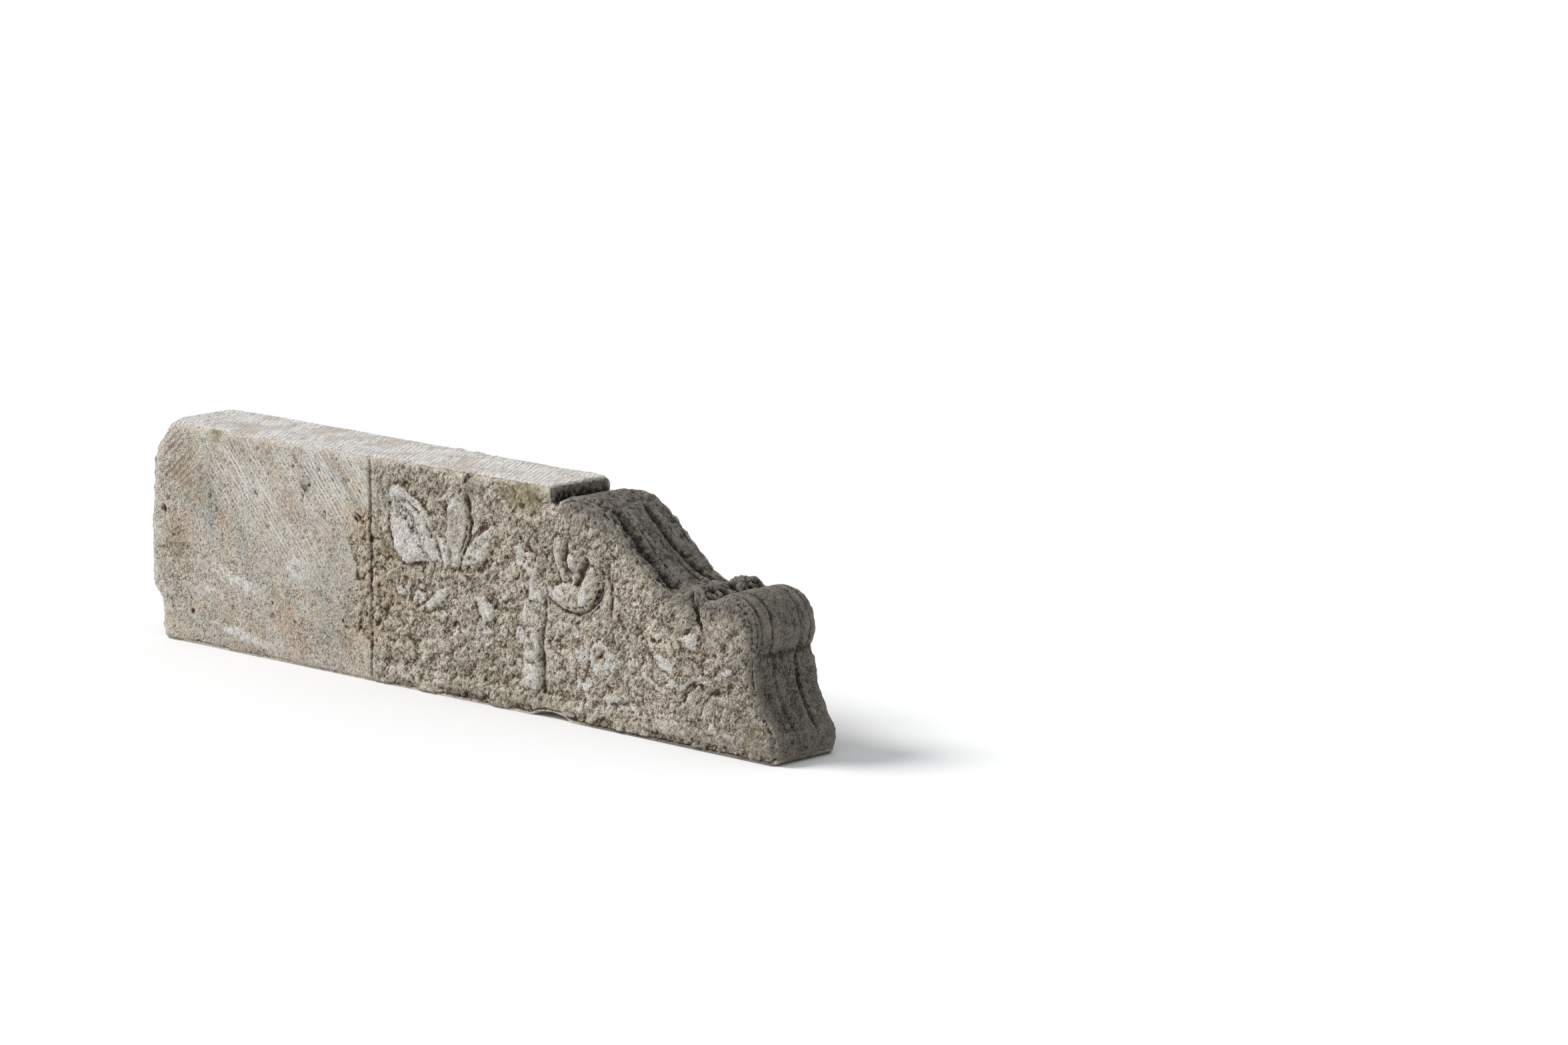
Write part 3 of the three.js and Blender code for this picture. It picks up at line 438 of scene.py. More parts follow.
# Plaster: lime plaster once covered the carving, and crumbs of it still cling to the palmette, the strip and
# the lower head, a millimetre or two thick.
PLASTER_OUTLINES = [
    ([(512, 262), (514, 300), (527, 303), (545, 294), (566, 285), (584, 273), (597, 258), (601, 240),
      (612, 215), (640, 199), (598, 199), (545, 189), (537, 193), (521, 208), (515, 235)], 0.42),
    ([(786, 36), (786, 75), (789, 122), (786, 165), (796, 172), (802, 216), (814, 214), (822, 170),
      (815, 125), (821, 95), (820, 36)], 0.33),
    ([(515, 250), (534, 257), (549, 247), (563, 231), (578, 214), (587, 204), (562, 195), (545, 190),
      (537, 194), (520, 210), (515, 228)], 1.1),
    ([(511, 246), (512, 299), (526, 304), (545, 295), (566, 286), (586, 273), (598, 258), (592, 257),
      (574, 272), (552, 283), (530, 289), (521, 282), (520, 250)], 1.0),
    ([(531, 279), (548, 276), (568, 266), (586, 250), (594, 238), (584, 236), (570, 246), (560, 258),
      (544, 270)], 0.75),
    ([(583, 234), (598, 236), (610, 218), (618, 202), (604, 201), (590, 206), (582, 222)], 0.9),
    ([(610, 236), (628, 234), (636, 215), (638, 199), (626, 196), (618, 214)], 0.8),
    ([(626, 281), (632, 292), (640, 299), (652, 300), (648, 290), (640, 281), (632, 276)], 1.1),
    ([(640, 232), (648, 236), (660, 215), (657, 202), (645, 205)], 0.5),
    ([(662, 204), (674, 226), (688, 242), (704, 254), (720, 264), (724, 250), (714, 230), (700, 212),
      (680, 204)], 0.62),
    ([(576, 128), (590, 137), (602, 151), (622, 162), (640, 165), (624, 152), (618, 138), (600, 130)],
      0.6),
    ([(788, 38), (787, 60), (789, 74), (818, 73), (820, 40)], 0.95),
    ([(808, 76), (821, 96), (816, 118), (808, 122), (810, 96)], 0.7),
    ([(797, 168), (800, 188), (812, 192), (820, 182), (826, 168)], 1.0),
    ([(772, 246), (782, 250), (790, 236), (796, 218), (806, 212), (800, 200), (788, 214), (776, 228)],
      0.62),
    ([(690, 158), (703, 160), (724, 150), (722, 128), (706, 124), (694, 140)], 0.9),
    ([(1096, 153), (1112, 164), (1133, 167), (1132, 150), (1130, 138), (1112, 146)], 1.0),
    ([(1046, 120), (1055, 127), (1068, 125), (1084, 115), (1084, 103), (1070, 102), (1058, 110)], 0.9),
    ([(840, 180), (850, 196), (866, 200), (872, 184), (862, 172), (848, 172)], 0.6),
    ([(900, 178), (904, 200), (916, 200), (918, 186), (908, 174)], 0.9),
]
# middle (along, up), half sizes, tilt and thickness of the smaller crumbs
CRUMBS = [
    (528, 148, 6, 7, 0, 0.7), (542, 146, 9, 8, 20, 0.7), (540, 130, 7, 6, 0, 0.5),
    (570, 140, 11, 9, 30, 0.8), (620, 120, 10, 5, 40, 0.9), (577, 50, 10, 5, 20, 0.5),
    (702, 108, 12, 14, 0, 0.45), (746, 166, 8, 6, 0, 0.5), (780, 116, 7, 12, 0, 0.8),
    (792, 104, 8, 7, 0, 0.5), (760, 78, 12, 8, 0, 0.35), (778, 232, 9, 14, 0, 0.8),
    (792, 228, 10, 10, 0, 0.7), (684, 255, 8, 6, 0, 0.7), (834, 188, 8, 8, -40, 0.7),
    (882, 200, 9, 4, 0, 0.6), (893, 132, 5, 9, 20, 0.8), (931, 155, 5, 8, 30, 0.7),
    (870, 142, 12, 4, 0, 0.5), (908, 104, 12, 13, 0, 0.8), (960, 100, 9, 12, 20, 0.8),
    (928, 86, 9, 9, -30, 0.9), (940, 124, 12, 5, -20, 0.8), (896, 63, 4, 9, 0, 0.9),
    (908, 58, 13, 4, 15, 0.9), (919, 65, 4, 6, 0, 0.8), (956, 43, 4, 9, 0, 0.9), (968, 49, 13, 4, 5, 0.9),
    (982, 38, 9, 4, 0, 0.9), (1010, 72, 9, 4, -20, 0.7), (1004, 110, 7, 8, 40, 0.6),
    (1048, 81, 9, 4, -50, 0.8), (1030, 91, 7, 4, -40, 0.6), (1084, 88, 12, 6, 20, 0.5),
    (1142, 102, 16, 5, 10, 0.6), (1150, 115, 6, 4, 0, 0.6), (1189, 119, 9, 4, 20, 0.7),
    (1084, 42, 6, 4, 30, 0.6), (1160, 38, 5, 7, 0, 0.7), (1183, 52, 3, 9, 0, 0.5),
    (1000, 130, 6, 5, 0, 0.5), (1163, 178, 5, 5, 0, 0.5), (887, 232, 11, 10, 0, 0.55),
    (860, 236, 6, 10, 0, 0.5), (848, 68, 9, 6, 0, 0.4), (150, 115, 28, 12, -10, 0.45),
    (195, 108, 26, 9, -10, 0.45), (180, 30, 70, 8, -8, 0.4), (300, 148, 26, 12, -35, 0.36),
    (972, 272, 12, 8, 0, 0.35), (1110, 90, 14, 3, 35, 0.5), (1040, 40, 60, 4, 0, 0.35),
]
# middle (along, up), radius and width
MORTAR_RING = (940, 108, 17, 7)


def spot_reach(spot, along, up):
    """How far places are from a tilted oval's middle, where its edge is 1."""
    x, z, long, short, tilt = spot
    cos, sin = math.cos(math.radians(tilt)), math.sin(math.radians(tilt))
    run, rise = along - x, up - z
    return np.hypot((run * cos + rise * sin) / long, (rise * cos - run * sin) / short)


def plaster_on(places):
    """How thickly plaster still covers places on the near side, from 0 to 1."""
    ragged = 1.8 * lumps(places, 9, 31) + 1.4 * lumps(places, 4.5, 32)
    along, up = places[:, 0] + 2 * lumps(places, 16, 33), places[:, 2] + 2 * lumps(places, 16, 34)
    cover = np.zeros(len(places))
    for outline, share in PLASTER_OUTLINES:
        cover = np.maximum(cover, share * rising(-1.5, 2.0, within(outline, along, up) + ragged))
    for *spot, share in CRUMBS:
        reach = spot_reach(spot, along, up)
        cover = np.maximum(cover, share * rising(-0.45, 0.35, 1 - reach + 0.22 * ragged))
    x, z, radius, width = MORTAR_RING
    ring = np.abs(np.hypot(along - x, up - z) - radius)
    return np.maximum(cover, 0.95 * rising(-1, 2, width / 2 - ring + 0.5 * ragged))


near_side = side * (across < 0)
places, facing = surface()
plaster = np.zeros(len(places))
plaster[near_side > 0.3] = plaster_on(places[near_side > 0.3])
plaster *= near_side
thickness = rising(0.25, 0.6, plaster) * (1.0 + 0.9 * lumps(places, 9, 35) + 0.6 * lumps(places, 5, 36))
move_surface(places + facing * thickness[:, None])

# The soot, stains and painted shade: the head hung out in smoke and rain and is dark with soot, and its
# hollows are painted darker still as shade, with ochre and green-yellow stains near the upper edge. Each
# point keeps how much of each it has.
places, facing = surface()
along, across, up = places.T
near_mean = eased(places, 7)
hollow = -((places - near_mean) * broad_facing).sum(axis=1)
deep = -((places - eased(near_mean, 45)) * broad_facing).sum(axis=1)
ogee_height = np.interp(along, [STEP, 900, 960, 1010, 1060, 1120, 1180, 1220, 1240, TOE],
                        [322, 331, 315, 275, 235, 218, 222, 222, 160, 90])
soot_and_shade = head * (0.9 + 0.25 * lumps(places, 60, 41))
soot_and_shade = np.maximum(soot_and_shade, side * rising(STEP, STEP + 30, along) * 0.75 * (1 - rising(0, 65, ogee_height - up)))
# The sides grow darker towards the toe.
soot_and_shade = np.maximum(soot_and_shade, side * rising(940, 1250, along) * 0.38)
soot_and_shade = np.maximum(soot_and_shade, side * rising(1000, 1150, along) * rising(0.2, 2.0, -deep) * 0.72)
soot_and_shade = np.maximum(soot_and_shade, 0.5 * toe_margin)
# The sides are darker along their lowest 14 mm, most at the floor.
soot_and_shade = np.maximum(soot_and_shade, side * (1 - rising(2, 14, up)) * 0.5)
# the step's face is found again on the skin as it lies now
step_face = rising(0.5, 0.8, broad_facing[:, 0]) * (np.abs(along - STEP) < 8) * (up > 300)
soot_and_shade = np.maximum(soot_and_shade, step_face * (0.75 - 0.6 * rising(318, 330, up)))
# The head's underside is painted dark: painted shade under the head, where it hangs near the floor.
soot_and_shade = np.maximum(soot_and_shade, 0.9 * under * rising(STEP, STEP + 100, along))


def patches(spots, ragged):
    """Soft patches, each given by its middle (along, up), half sizes, tilt and strength."""
    cover = np.zeros(len(along))
    for *spot, share in spots:
        cover = np.maximum(cover, share * rising(-0.5, 0.6, 1 - spot_reach(spot, along, up) + ragged))
    return cover


COMB_SLANT = -48
CLAW_SLANT = 40
BED_SLANT = -59
# pale bloom, ochre stains, soot smudges, brown and bluish stone, crumbling stone and tooled stone
BLOOMS = [(190, 26, 50, 9, -6, 1), (120, 132, 20, 8, 0, 0.8), (185, 100, 38, 8, -8, 0.8),
          (218, 262, 30, 10, -30, 0.9), (300, 142, 30, 16, -30, 0.6), (105, 90, 24, 10, 10, 0.5),
          (270, 28, 18, 10, 0, 0.6), (380, 190, 50, 30, 0, 0.3), (655, 252, 15, 46, 0, 0.7),
          (430, 318, 30, 12, -40, 0.5), (370, 310, 40, 14, -40, 0.5), (900, 250, 50, 40, 0, 0.2)]
STAINS = [(130, 333, 14, 12, 0, 0.9), (785, 318, 42, 20, 0, 0.75), (735, 250, 30, 20, 20, 0.2),
          (1240, 30, 24, 20, 0, 0.5), (1200, 205, 24, 26, 0, 0.35), (90, 250, 40, 26, 20, 0.25)]
SMUDGES = [(676, 320, 12, 24, 10, 0.6), (1220, 188, 20, 26, 0, 0.45), (905, 268, 44, 18, -20, 0.4),
           (1255, 25, 22, 18, 0, 0.4), (1132, 195, 14, 24, 10, 0.4), (945, 285, 30, 16, -30, 0.4)]
WARMED = [(41, 159, 36, 44, 0, 0.9), (59, 268, 30, 20, 0, 0.8), (281, 245, 44, 30, -40, 0.7),
          (287, 55, 28, 60, 20, 0.9), (440, 234, 34, 34, 0, 1), (435, 66, 44, 22, 0, 1),
          (150, 60, 30, 40, 0, 0.5), (500, 150, 60, 90, 0, 0.7), (230, 300, 60, 14, -10, 0.4),
          (350, 200, 30, 20, COMB_SLANT, 0.5)]
COOLED = [(117, 226, 50, 36, -45, 1), (190, 167, 56, 34, -45, 0.7), (393, 114, 56, 80, 0, 0.8),
          (130, 30, 90, 24, -8, 0.7), (330, 290, 30, 20, 0, 0.5), (400, 300, 60, 20, -30, 0.6),
          (490, 290, 30, 26, 0, 0.8), (280, 130, 50, 30, -20, 0.6)]
CRUMBLED = [(38, 120, 30, 62, 0, 0.8), (352, 40, 34, 26, 20, 0.6), (420, 95, 18, 40, 0, 0.6),
            (330, 275, 16, 12, 0, 0.7), (20, 215, 18, 20, 0, 0.7), (235, 60, 30, 12, 0, 0.3),
            (100, 60, 40, 14, 0, 0.4)]
COMBED = [(250, 225, 150, 70, -30, 0.45), (185, 280, 60, 18, COMB_SLANT, 1),
          (228, 280, 50, 14, COMB_SLANT, 0.8), (300, 285, 64, 22, COMB_SLANT, 0.6),
          (372, 290, 66, 34, COMB_SLANT, 1),
          (440, 300, 54, 22, COMB_SLANT, 0.9), (420, 250, 44, 16, COMB_SLANT, 0.7),
          (270, 210, 66, 24, COMB_SLANT, 0.7), (150, 235, 56, 18, COMB_SLANT, 0.55),
          (340, 190, 56, 20, COMB_SLANT, 0.5), (120, 300, 40, 14, COMB_SLANT, 0.6)]
CLAWED = [(35, 285, 48, 44, CLAW_SLANT, 1.0), (75, 250, 46, 26, CLAW_SLANT, 0.7)]
SCRATCHES = [
    [(263, 133), (266, 115), (275, 103), (300, 95), (330, 88)],
    [(287, 170), (300, 166), (312, 158), (328, 152), (340, 143)],
    [(275, 158), (290, 146), (318, 130)],
    [(282, 140), (300, 136), (322, 138)],
    [(232, 262), (246, 248), (258, 232)],
    [(150, 118), (178, 108), (214, 100)],
    [(96, 88), (118, 92), (140, 84)],
]
wisps = 0.3 * lumps(places, 22, 42)
soot_and_shade = np.maximum(soot_and_shade, patches(SMUDGES, wisps) * near_side)
bloom = patches(BLOOMS, wisps) * near_side
stain = patches(STAINS, wisps) * near_side
warmed = patches(WARMED, 1.5 * wisps) * near_side
cooled = patches(COOLED, 1.5 * wisps) * near_side
combed = patches(COMBED, wisps) * tail
crumbly = patches(CRUMBLED, 1.4 * wisps + 0.25 * lumps(places, 8, 52)) * tail
clawed = patches(CLAWED, wisps) * tail
scratched = np.zeros(len(places))
on_tail = near_side * tail > 0.3
for line in SCRATCHES:
    nearest = beside(line, along[on_tail] + 2 * lumps(places[on_tail], 14, 43), up[on_tail])
    scratched[on_tail] = np.maximum(scratched[on_tail], 1 - rising(0.5, 3.5, nearest))


def keep(name, values):
    """Stores a value for each point of the skin."""
    corbel.data.attributes.new(name, "FLOAT", "POINT").data.foreach_set("value", values.astype(np.float32))


roughened = field * (1 - 0.6 * unworn) + 0.8 * crumbly + 0.9 * upper_arris + 0.55 * head + 0.9 * tail_end
keep("rough", np.clip(roughened, 0, 1))
keep("bed", bed)
keep("bloom", np.clip(bloom, 0, 1))
keep("stain", np.clip(stain, 0, 1))
keep("warmed", warmed)
keep("cooled", cooled)
keep("combed", combed)
keep("clawed", clawed)
keep("scratched", scratched)
keep("soot_and_shade", np.clip(soot_and_shade, 0, 1))
keep("plaster", np.clip(plaster, 0, 1))
# Hollow and deep measure how far a point lies below its near and wider neighbours; the finish paints shade
# into hollows and light onto bulges from them.
HOLLOW_SPAN, DEEP_SPAN, LEAST_DEEP = 3.5, 7, -1.2
keep("hollow", np.clip(0.5 + hollow / HOLLOW_SPAN, 0, 1))
keep("deep", np.clip(0.5 + np.maximum(deep, LEAST_DEEP) / DEEP_SPAN, 0, 1))
# Grooves, the scribed line and the lines down the roll and the hollow are painted dark in the colour: painted
# shade in them.
lines = np.maximum(scribed, front_lines)
carved_lines = side[on_side] * sunk_lines(along[on_side], up[on_side]) * field[on_side]
lines[on_side] = np.maximum(lines[on_side], carved_lines)
keep("lines", lines)

# A collapse keeps the mesh light where the stone is plain.
TRIANGLES = 195000
SHARP_ANGLE = 60
thinned = corbel.modifiers.new("thinned", "DECIMATE")
thinned.ratio = TRIANGLES / (2 * len(corbel.data.polygons))
bpy.ops.object.modifier_apply(modifier=thinned.name)
move_surface(surface()[0])
bpy.ops.object.shade_smooth_by_angle(angle=math.radians(SHARP_ANGLE))


# The finish: bare sandstone, brown in its pits and pale on its ridges, partly its own grain and partly
# painted shade in hollows and grooves and painted light on bulges, under what smoke, plaster and rain have
# left on it.
class Tone:
    """A number that varies over the stone. Sums on it add Math nodes."""

    def __init__(self, socket):
        self.socket = socket

    def math(self, operation, *others):
        return Tone(node("Math", {"operation": operation}, {i: o for i, o in enumerate((self, *others))}))

    def __add__(self, other):
        return self.math("ADD", other)

    def __sub__(self, other):
        return self.math("SUBTRACT", other)

    def __mul__(self, other):
        return self.math("MULTIPLY", other)

    def __rsub__(self, other):
        return (self * -1.0).math("ADD", other)

    __radd__, __rmul__ = __add__, __mul__

    def between(self, low, high):
        """0 up to low, 1 from high on, and smooth between."""
        return Tone(node("MapRange", {"interpolation_type": "SMOOTHSTEP"}, {0: self, 1: low, 2: high}))


finish = bpy.data.materials.new("weathered_sandstone")
finish.use_nodes = True
finish.node_tree.nodes.clear()


def node(kind, settings=None, inputs=None, out=0):
    """Adds a node, sets it, feeds its inputs and returns one of its outputs."""
    made = finish.node_tree.nodes.new("ShaderNode" + kind)
    for name, value in (settings or {}).items():
        setattr(made, name, value)
    for name, value in (inputs or {}).items():
        source = value.socket if isinstance(value, Tone) else value
        if isinstance(source, bpy.types.NodeSocket):
            finish.node_tree.links.new(source, made.inputs[name])
        else:
            made.inputs[name].default_value = source
    return made.outputs[out]


def paint(red, green, blue):
    """A colour as a picture shows it (0 to 255), as the share of light that it gives back."""
    return tuple(((shade / 255 + 0.055) / 1.055) ** 2.4 for shade in (red, green, blue)) + (1.0,)


def blended(share, first, second, how="MIX"):
    """Two colours mixed by a share."""
    return node("Mix", {"data_type": "RGBA", "blend_type": how}, {0: share, 6: first, 7: second}, out=2)


def kept(name):
    """A value that the skin's points keep."""
    return Tone(node("Attribute", {"attribute_name": name}, out=2))


where = node("TexCoord", out=3)
millimetres = node("VectorMath", {"operation": "SCALE"}, {0: where, "Scale": MILLIMETRES})


def grain(size, detail=3.0, roughness=0.6, at=millimetres):
    """Cloudy grain of a size, from 0 to 1."""
    return Tone(node("TexNoise", {"normalize": True},
                     {"Vector": at, "Scale": 1 / size, "Detail": detail, "Roughness": roughness}))


def drawn_out(turn, stretch, at=millimetres):
    """Places squeezed along one direction, so that grain becomes strokes of a tool."""
    return node("Mapping", {"vector_type": "TEXTURE"}, {"Vector": at, "Rotation": turn, "Scale": stretch})


rough, soot_and_shade_share, plaster_share, hollow_share = kept("rough"), kept("soot_and_shade"), kept("plaster"), kept("hollow")
bed_share, bloom_share, stain_share = kept("bed"), kept("bloom"), kept("stain")
deep_share, groove_shade_share = kept("deep"), kept("lines")
warm_share, cool_share = kept("warmed"), kept("cooled")
combed_share, clawed_share, scratched_share = kept("combed"), kept("clawed"), kept("scratched")
place = node("SeparateXYZ", None, {0: millimetres})
x_place, y_place, z_place = (Tone(finish.node_tree.nodes[-1].outputs[i]) for i in range(3))
wander = node("TexNoise", None, {"Vector": millimetres, "Scale": 1 / 12, "Detail": 3.0}, out=1)
wandering = node("VectorMath", {"operation": "MULTIPLY_ADD"}, {0: wander, 1: (7.0, 7.0, 7.0), 2: millimetres})
climbing = drawn_out((0, math.radians(-45), 0), (1.7, 1, 1), wandering)


def crumbs(size):
    """Round crumbs of a size: 1 on their tops, down to about 0 between them."""
    return 1 - Tone(node("TexVoronoi", None, {"Vector": climbing, "Scale": 1 / size})) * 1.2


sand = grain(1.9, 2, 0.7)
grit = grain(3.8, 2, 0.6)
pebble = grain(9, 3, 0.6)
speckle = grain(3.4, 4, 0.75, climbing).between(0.34, 0.66)
mottle = grain(13, 5, 0.7, climbing)
crumb = grain(6, 4, 0.65, climbing).between(0.34, 0.64) * 0.75 + crumbs(4.5) * 0.25
rugged_share = rough * (grain(30, 3, 0.55).between(0.36, 0.58) * 0.6 + 0.4)
cloud = grain(36, 5, 0.65)
warm_cloud = grain(75, 4, 0.6)


def lined(second, turn, pitch, thin):
    """Fine lines of a toothed tool, a pitch apart, turned from along the stone: 1 on a line, 0 between."""
    cos, sin = math.cos(math.radians(turn)), math.sin(math.radians(turn))
    across_lines = (second * cos - x_place * sin) * (1 / pitch) + (cloud + grit * 0.5) * 1.2
    return 1 - (across_lines.math("FRACT") - 0.5).math("ABSOLUTE").between(thin / 2, thin)


def tool_lines(turn, width, length):
    """Fine strokes of a chisel, in patches."""
    return grain(width, 2, 0.5, drawn_out(turn, (length, 1, 1)))


COMB_PITCH = 7
CLAW_PITCH = 9
BED_PITCH = 7.5
falling = tool_lines((0, math.radians(-COMB_SLANT), 0), 4, 16)
strokes = tool_lines((0, math.radians(-COMB_SLANT), 0), 7, 12).between(0.34, 0.52)
comb = lined(z_place, COMB_SLANT, COMB_PITCH, 0.32) * strokes
comb = (comb + falling.between(0.52, 0.62) * 0.4) * combed_share
claw = lined(z_place, CLAW_SLANT, CLAW_PITCH, 0.3)
claw = claw * tool_lines((0, math.radians(-CLAW_SLANT), 0), 4, 10).between(0.38, 0.52) * clawed_share
bed_strokes = tool_lines((0, 0, math.radians(BED_SLANT)), 3.4, 12)
hatched = lined(y_place, BED_SLANT, BED_PITCH, 0.3) * grain(40, 3, 0.5).between(0.35, 0.6) * bed_share

# Dark spots and pinholes are sunk in the bump and painted dark brown: partly the stone's own specks, partly
# painted shade in the pits.
spots = grain(4.5, 2, 0.5).between(0.62, 0.7).math("MAXIMUM", grain(2.8, 2, 0.5).between(0.62, 0.7))
pinholes = grain(2.2, 2, 0.6).between(0.6, 0.68) * (1 - bed_share) * 0.6
spots = (spots * (rough * 0.3 + 0.5)).math("MAXIMUM", pinholes)
freckles = grain(2.8, 4, 0.8).between(0.5, 0.58) * (grain(22, 4, 0.6).between(0.4, 0.6) * 0.7 + 0.3)
relief = (pebble - 0.5) * 4.0 + (grit - 0.5) * 5.0
relief = rugged_share * (crumb - 0.5) * 3.0 + (rugged_share * 0.7 + 0.3) * relief
relief = relief + (sand - 0.5) * 2.5 - spots * 1.2
relief = relief + comb * 0.6 - claw * 0.8 + bed_share * (bed_strokes - 0.5) * 3.0 + hatched * 0.5
# The colour's height follows the bump's pebble, crumb and sand, so raised grain is paler and low grain
# browner: partly the stone's own tone, partly painted light and shade. Hollows and deep places of the skin
# are painted darker as shade, and bulges paler as painted light.
height = (pebble - 0.5) * 0.6 + (speckle - 0.5) * (rugged_share * 0.25 + 0.6) + (sand - 0.5) * 1.8
height = height + rugged_share * ((crumb - 0.5) * 0.6 + (mottle - 0.5) * 1.6)
height = height + (0.5 - hollow_share) * 1.2 + (0.5 - deep_share) * 1.0 + 0.5

# The worn stone runs from brown to pale with this height, so it carries the painted shade and light as well
# as the grain.
worn_and_shaded = blended(height.between(-0.2, 1.15), paint(84, 61, 40), paint(237, 227, 211))
worn_and_shaded = blended(warm_cloud.between(0.35, 0.65), worn_and_shaded, blended(1.0, worn_and_shaded, paint(232, 234, 229), "MULTIPLY"))
greyed = blended(1.0, worn_and_shaded, paint(206, 205, 196), "MULTIPLY")
worn_and_shaded = blended(grain(26, 5, 0.7).between(0.5, 0.62) * 0.6, worn_and_shaded, greyed)
dressed = blended(cloud.between(0.36, 0.62), paint(222, 209, 191), paint(212, 210, 199))
dressed = blended(warm_cloud.between(0.45, 0.6), dressed, paint(220, 211, 201))
dressed = blended(grain(48, 5, 0.65).between(0.54, 0.64) * 0.55, dressed, paint(206, 182, 156))
dressed = blended(freckles * 0.75, dressed, paint(118, 105, 88))
# Low places of the dressed stone are darkened: the grain's own tone, and painted shade in the hollows.
shaded = blended(height.between(-0.25, 0.85), paint(108, 96, 82), paint(255, 255, 255))
dressed = blended(1.0, dressed, shaded, "MULTIPLY")
dressed = blended(comb * 0.9, dressed, paint(228, 225, 218))
dressed = blended(claw * 0.7, dressed, paint(128, 114, 96))
wisp = (grain(9, 5, 0.75) * 0.6 + falling * 0.4).between(0.42, 0.6)
dressed = blended(bloom_share * wisp * 0.8, dressed, paint(224, 223, 221))
dressed = blended(scratched_share * grit.between(0.35, 0.5) * 0.8, dressed, paint(232, 230, 226))
bed_height = (bed_strokes - 0.5) * 1.6 + hatched * 0.6 + (speckle - 0.5) * 0.35
bed_height = bed_height + (cloud - 0.5) * 0.8 + (sand - 0.5) * 0.8 + 0.5
bed_colour = blended(bed_height.between(0, 1), paint(172, 167, 160), paint(228, 225, 222))
bed_colour = blended(grain(14, 5, 0.75).between(0.56, 0.68) * 0.8, bed_colour, paint(128, 117, 104))
bed_colour = blended(grain(70, 4, 0.6).between(0.5, 0.62) * 0.5, bed_colour, paint(182, 166, 146))
dressed = blended(bed_share, dressed, bed_colour)
stone_colour = blended(rough, dressed, worn_and_shaded)
stone_colour = blended(warm_share * (cloud + grit * 0.6).between(0.6, 0.95) * 0.7, stone_colour,
                       blended(1.0, stone_colour, paint(236, 214, 190), "MULTIPLY"))
stone_colour = blended(cool_share * (cloud + grit * 0.6).between(0.6, 0.95) * 0.8, stone_colour,
                       blended(1.0, stone_colour, paint(221, 226, 228), "MULTIPLY"))
stone_colour = blended(spots * 0.6, stone_colour, paint(70, 56, 40))
stone_colour = blended(stain_share * (pebble + 0.25).between(0.4, 0.9), stone_colour, paint(142, 128, 90))
# Soot runs from near black to grey with the same height, so its hollows are painted darker as shade.
soot_grain_and_hollow_shade = height * 0.75 + (grain(28, 4, 0.6) - 0.5) * 0.9 + 0.12
soot_and_shade_colour = blended(soot_grain_and_hollow_shade.between(-0.1, 1.05), paint(36, 33, 29), paint(140, 134, 124))
soot_and_shade_cover = (soot_and_shade_share + (pebble - 0.5) * 0.5 + (cloud - 0.5) * 0.4).between(0.15, 0.8)
stone_colour = blended(soot_and_shade_cover, stone_colour, soot_and_shade_colour)
# Painted shade in the grooves and lines.
stone_colour = blended(groove_shade_share * (grit * 0.6 + 0.2), stone_colour, paint(72, 58, 43))
lime = (sand * 0.4 + grit * 0.3 + pebble * 0.3).between(0.38, 0.58)
lime = blended(lime, paint(182, 174, 163), paint(236, 234, 231))
ragged = (grain(7, 5, 0.75) - 0.5) * 5.0 + (grain(16, 4, 0.6) - 0.5) * 2.0 - (hollow_share - 0.5) * 1.0
plaster_cover = (plaster_share * 0.9 + ragged).between(0.25, 0.75) * plaster_share.between(0.05, 0.3)
plaster_cover = plaster_cover * (1 - spots * 0.8)
stone_colour = blended(plaster_cover, stone_colour, lime)

bump = node("Bump", None, {"Height": relief, "Distance": 1 / MILLIMETRES, "Strength": 1.0})
shader = node("BsdfPrincipled", None,
              {"Base Color": stone_colour, "Roughness": 0.95, "Specular IOR Level": 0.2, "Normal": bump})
surface_end = finish.node_tree.nodes.new("ShaderNodeOutputMaterial")
finish.node_tree.links.new(shader, surface_end.inputs["Surface"])
corbel.data.materials.append(finish)

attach(corbel, "root")
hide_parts("corbel_stone")

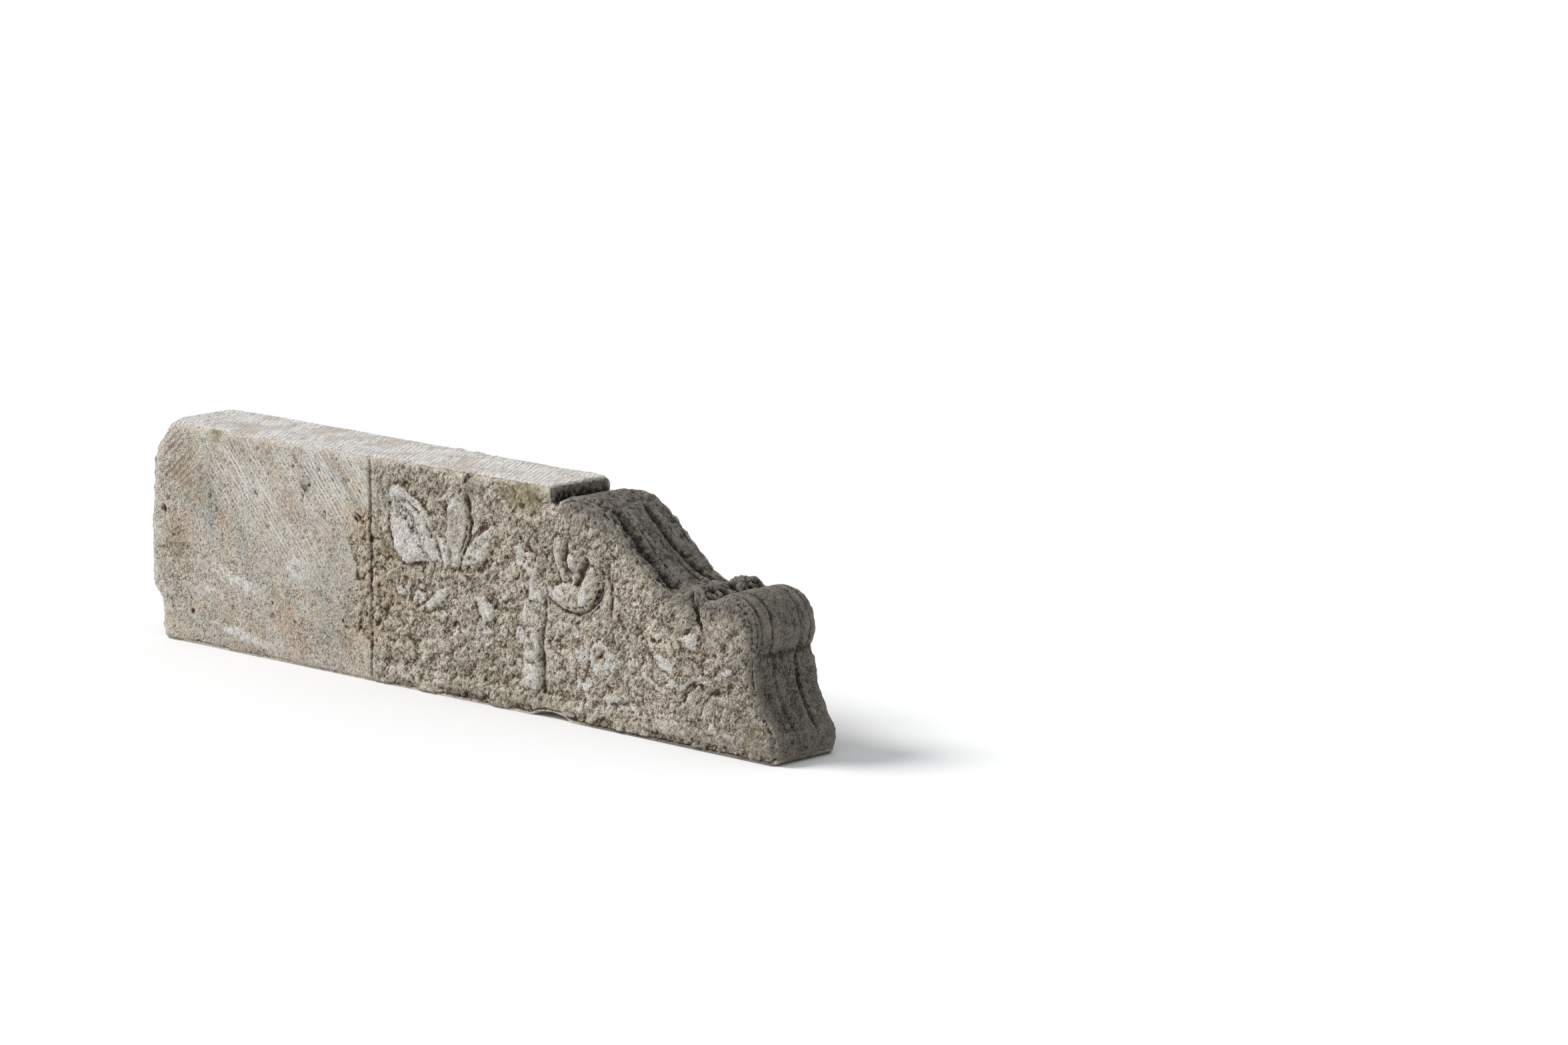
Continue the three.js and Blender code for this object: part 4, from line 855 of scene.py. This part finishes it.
# The floor: plain, pale and wide enough to fill the view.
FLOOR_SIZE = 120
bpy.ops.object.select_all(action="DESELECT")
bpy.ops.mesh.primitive_plane_add(size=FLOOR_SIZE, location=(0, 0, 0))
floor = bpy.context.object
floor.name = "pale_floor"
floor_finish = bpy.data.materials.new("pale_floor")
floor_finish.use_nodes = True
floor_shader = floor_finish.node_tree.nodes["Principled BSDF"]
floor_shader.inputs["Base Color"].default_value = (0.8, 0.8, 0.8, 1)
floor_shader.inputs["Roughness"].default_value = 0.9
floor_shader.inputs["Specular IOR Level"].default_value = 0.1
floor.data.materials.append(floor_finish)

# Soft studio light: an even pale room, and one broad light from above on the camera's left.
ROOM_STRENGTH = 0.66
KEY_STRENGTH = 3.0
KEY_BREADTH = 24
KEY_FROM = (-0.62, -0.36, 0.70)
room = bpy.data.worlds.new("room")
room.use_nodes = True
room.node_tree.nodes["Background"].inputs["Color"].default_value = (0.97, 0.985, 1, 1)
room.node_tree.nodes["Background"].inputs["Strength"].default_value = ROOM_STRENGTH
bpy.context.scene.world = room
key = bpy.data.lights.new("key", "SUN")
key.energy = KEY_STRENGTH
key.angle = math.radians(KEY_BREADTH)
key_light = bpy.data.objects.new("key", key)
key_light.rotation_euler = Vector(KEY_FROM).to_track_quat("Z", "Y").to_euler()
bpy.context.scene.collection.objects.link(key_light)
bpy.context.scene.view_settings.view_transform = "Standard"

# The camera, as far off as in the picture that the stone was built from. Its place is given from the tail's
# lower end, in metres, and its tilt and turn in degrees.
CAMERA_PLACE = (6.403, -5.480, 1.760)
CAMERA_TILT, CAMERA_TURN = 79.25, 43.29
LENS, SENSOR = 127.2, 36
camera = bpy.data.cameras.new("camera")
camera.lens = LENS
camera.sensor_width = SENSOR
camera.clip_end = 200
view_point = bpy.data.objects.new("camera", camera)
view_point.location = Vector(CAMERA_PLACE) - Vector(TAIL_END) / MILLIMETRES
view_point.rotation_euler = Euler((math.radians(CAMERA_TILT), 0, math.radians(CAMERA_TURN)))
bpy.context.scene.collection.objects.link(view_point)
bpy.context.scene.camera = view_point

bpy.context.view_layer.update()
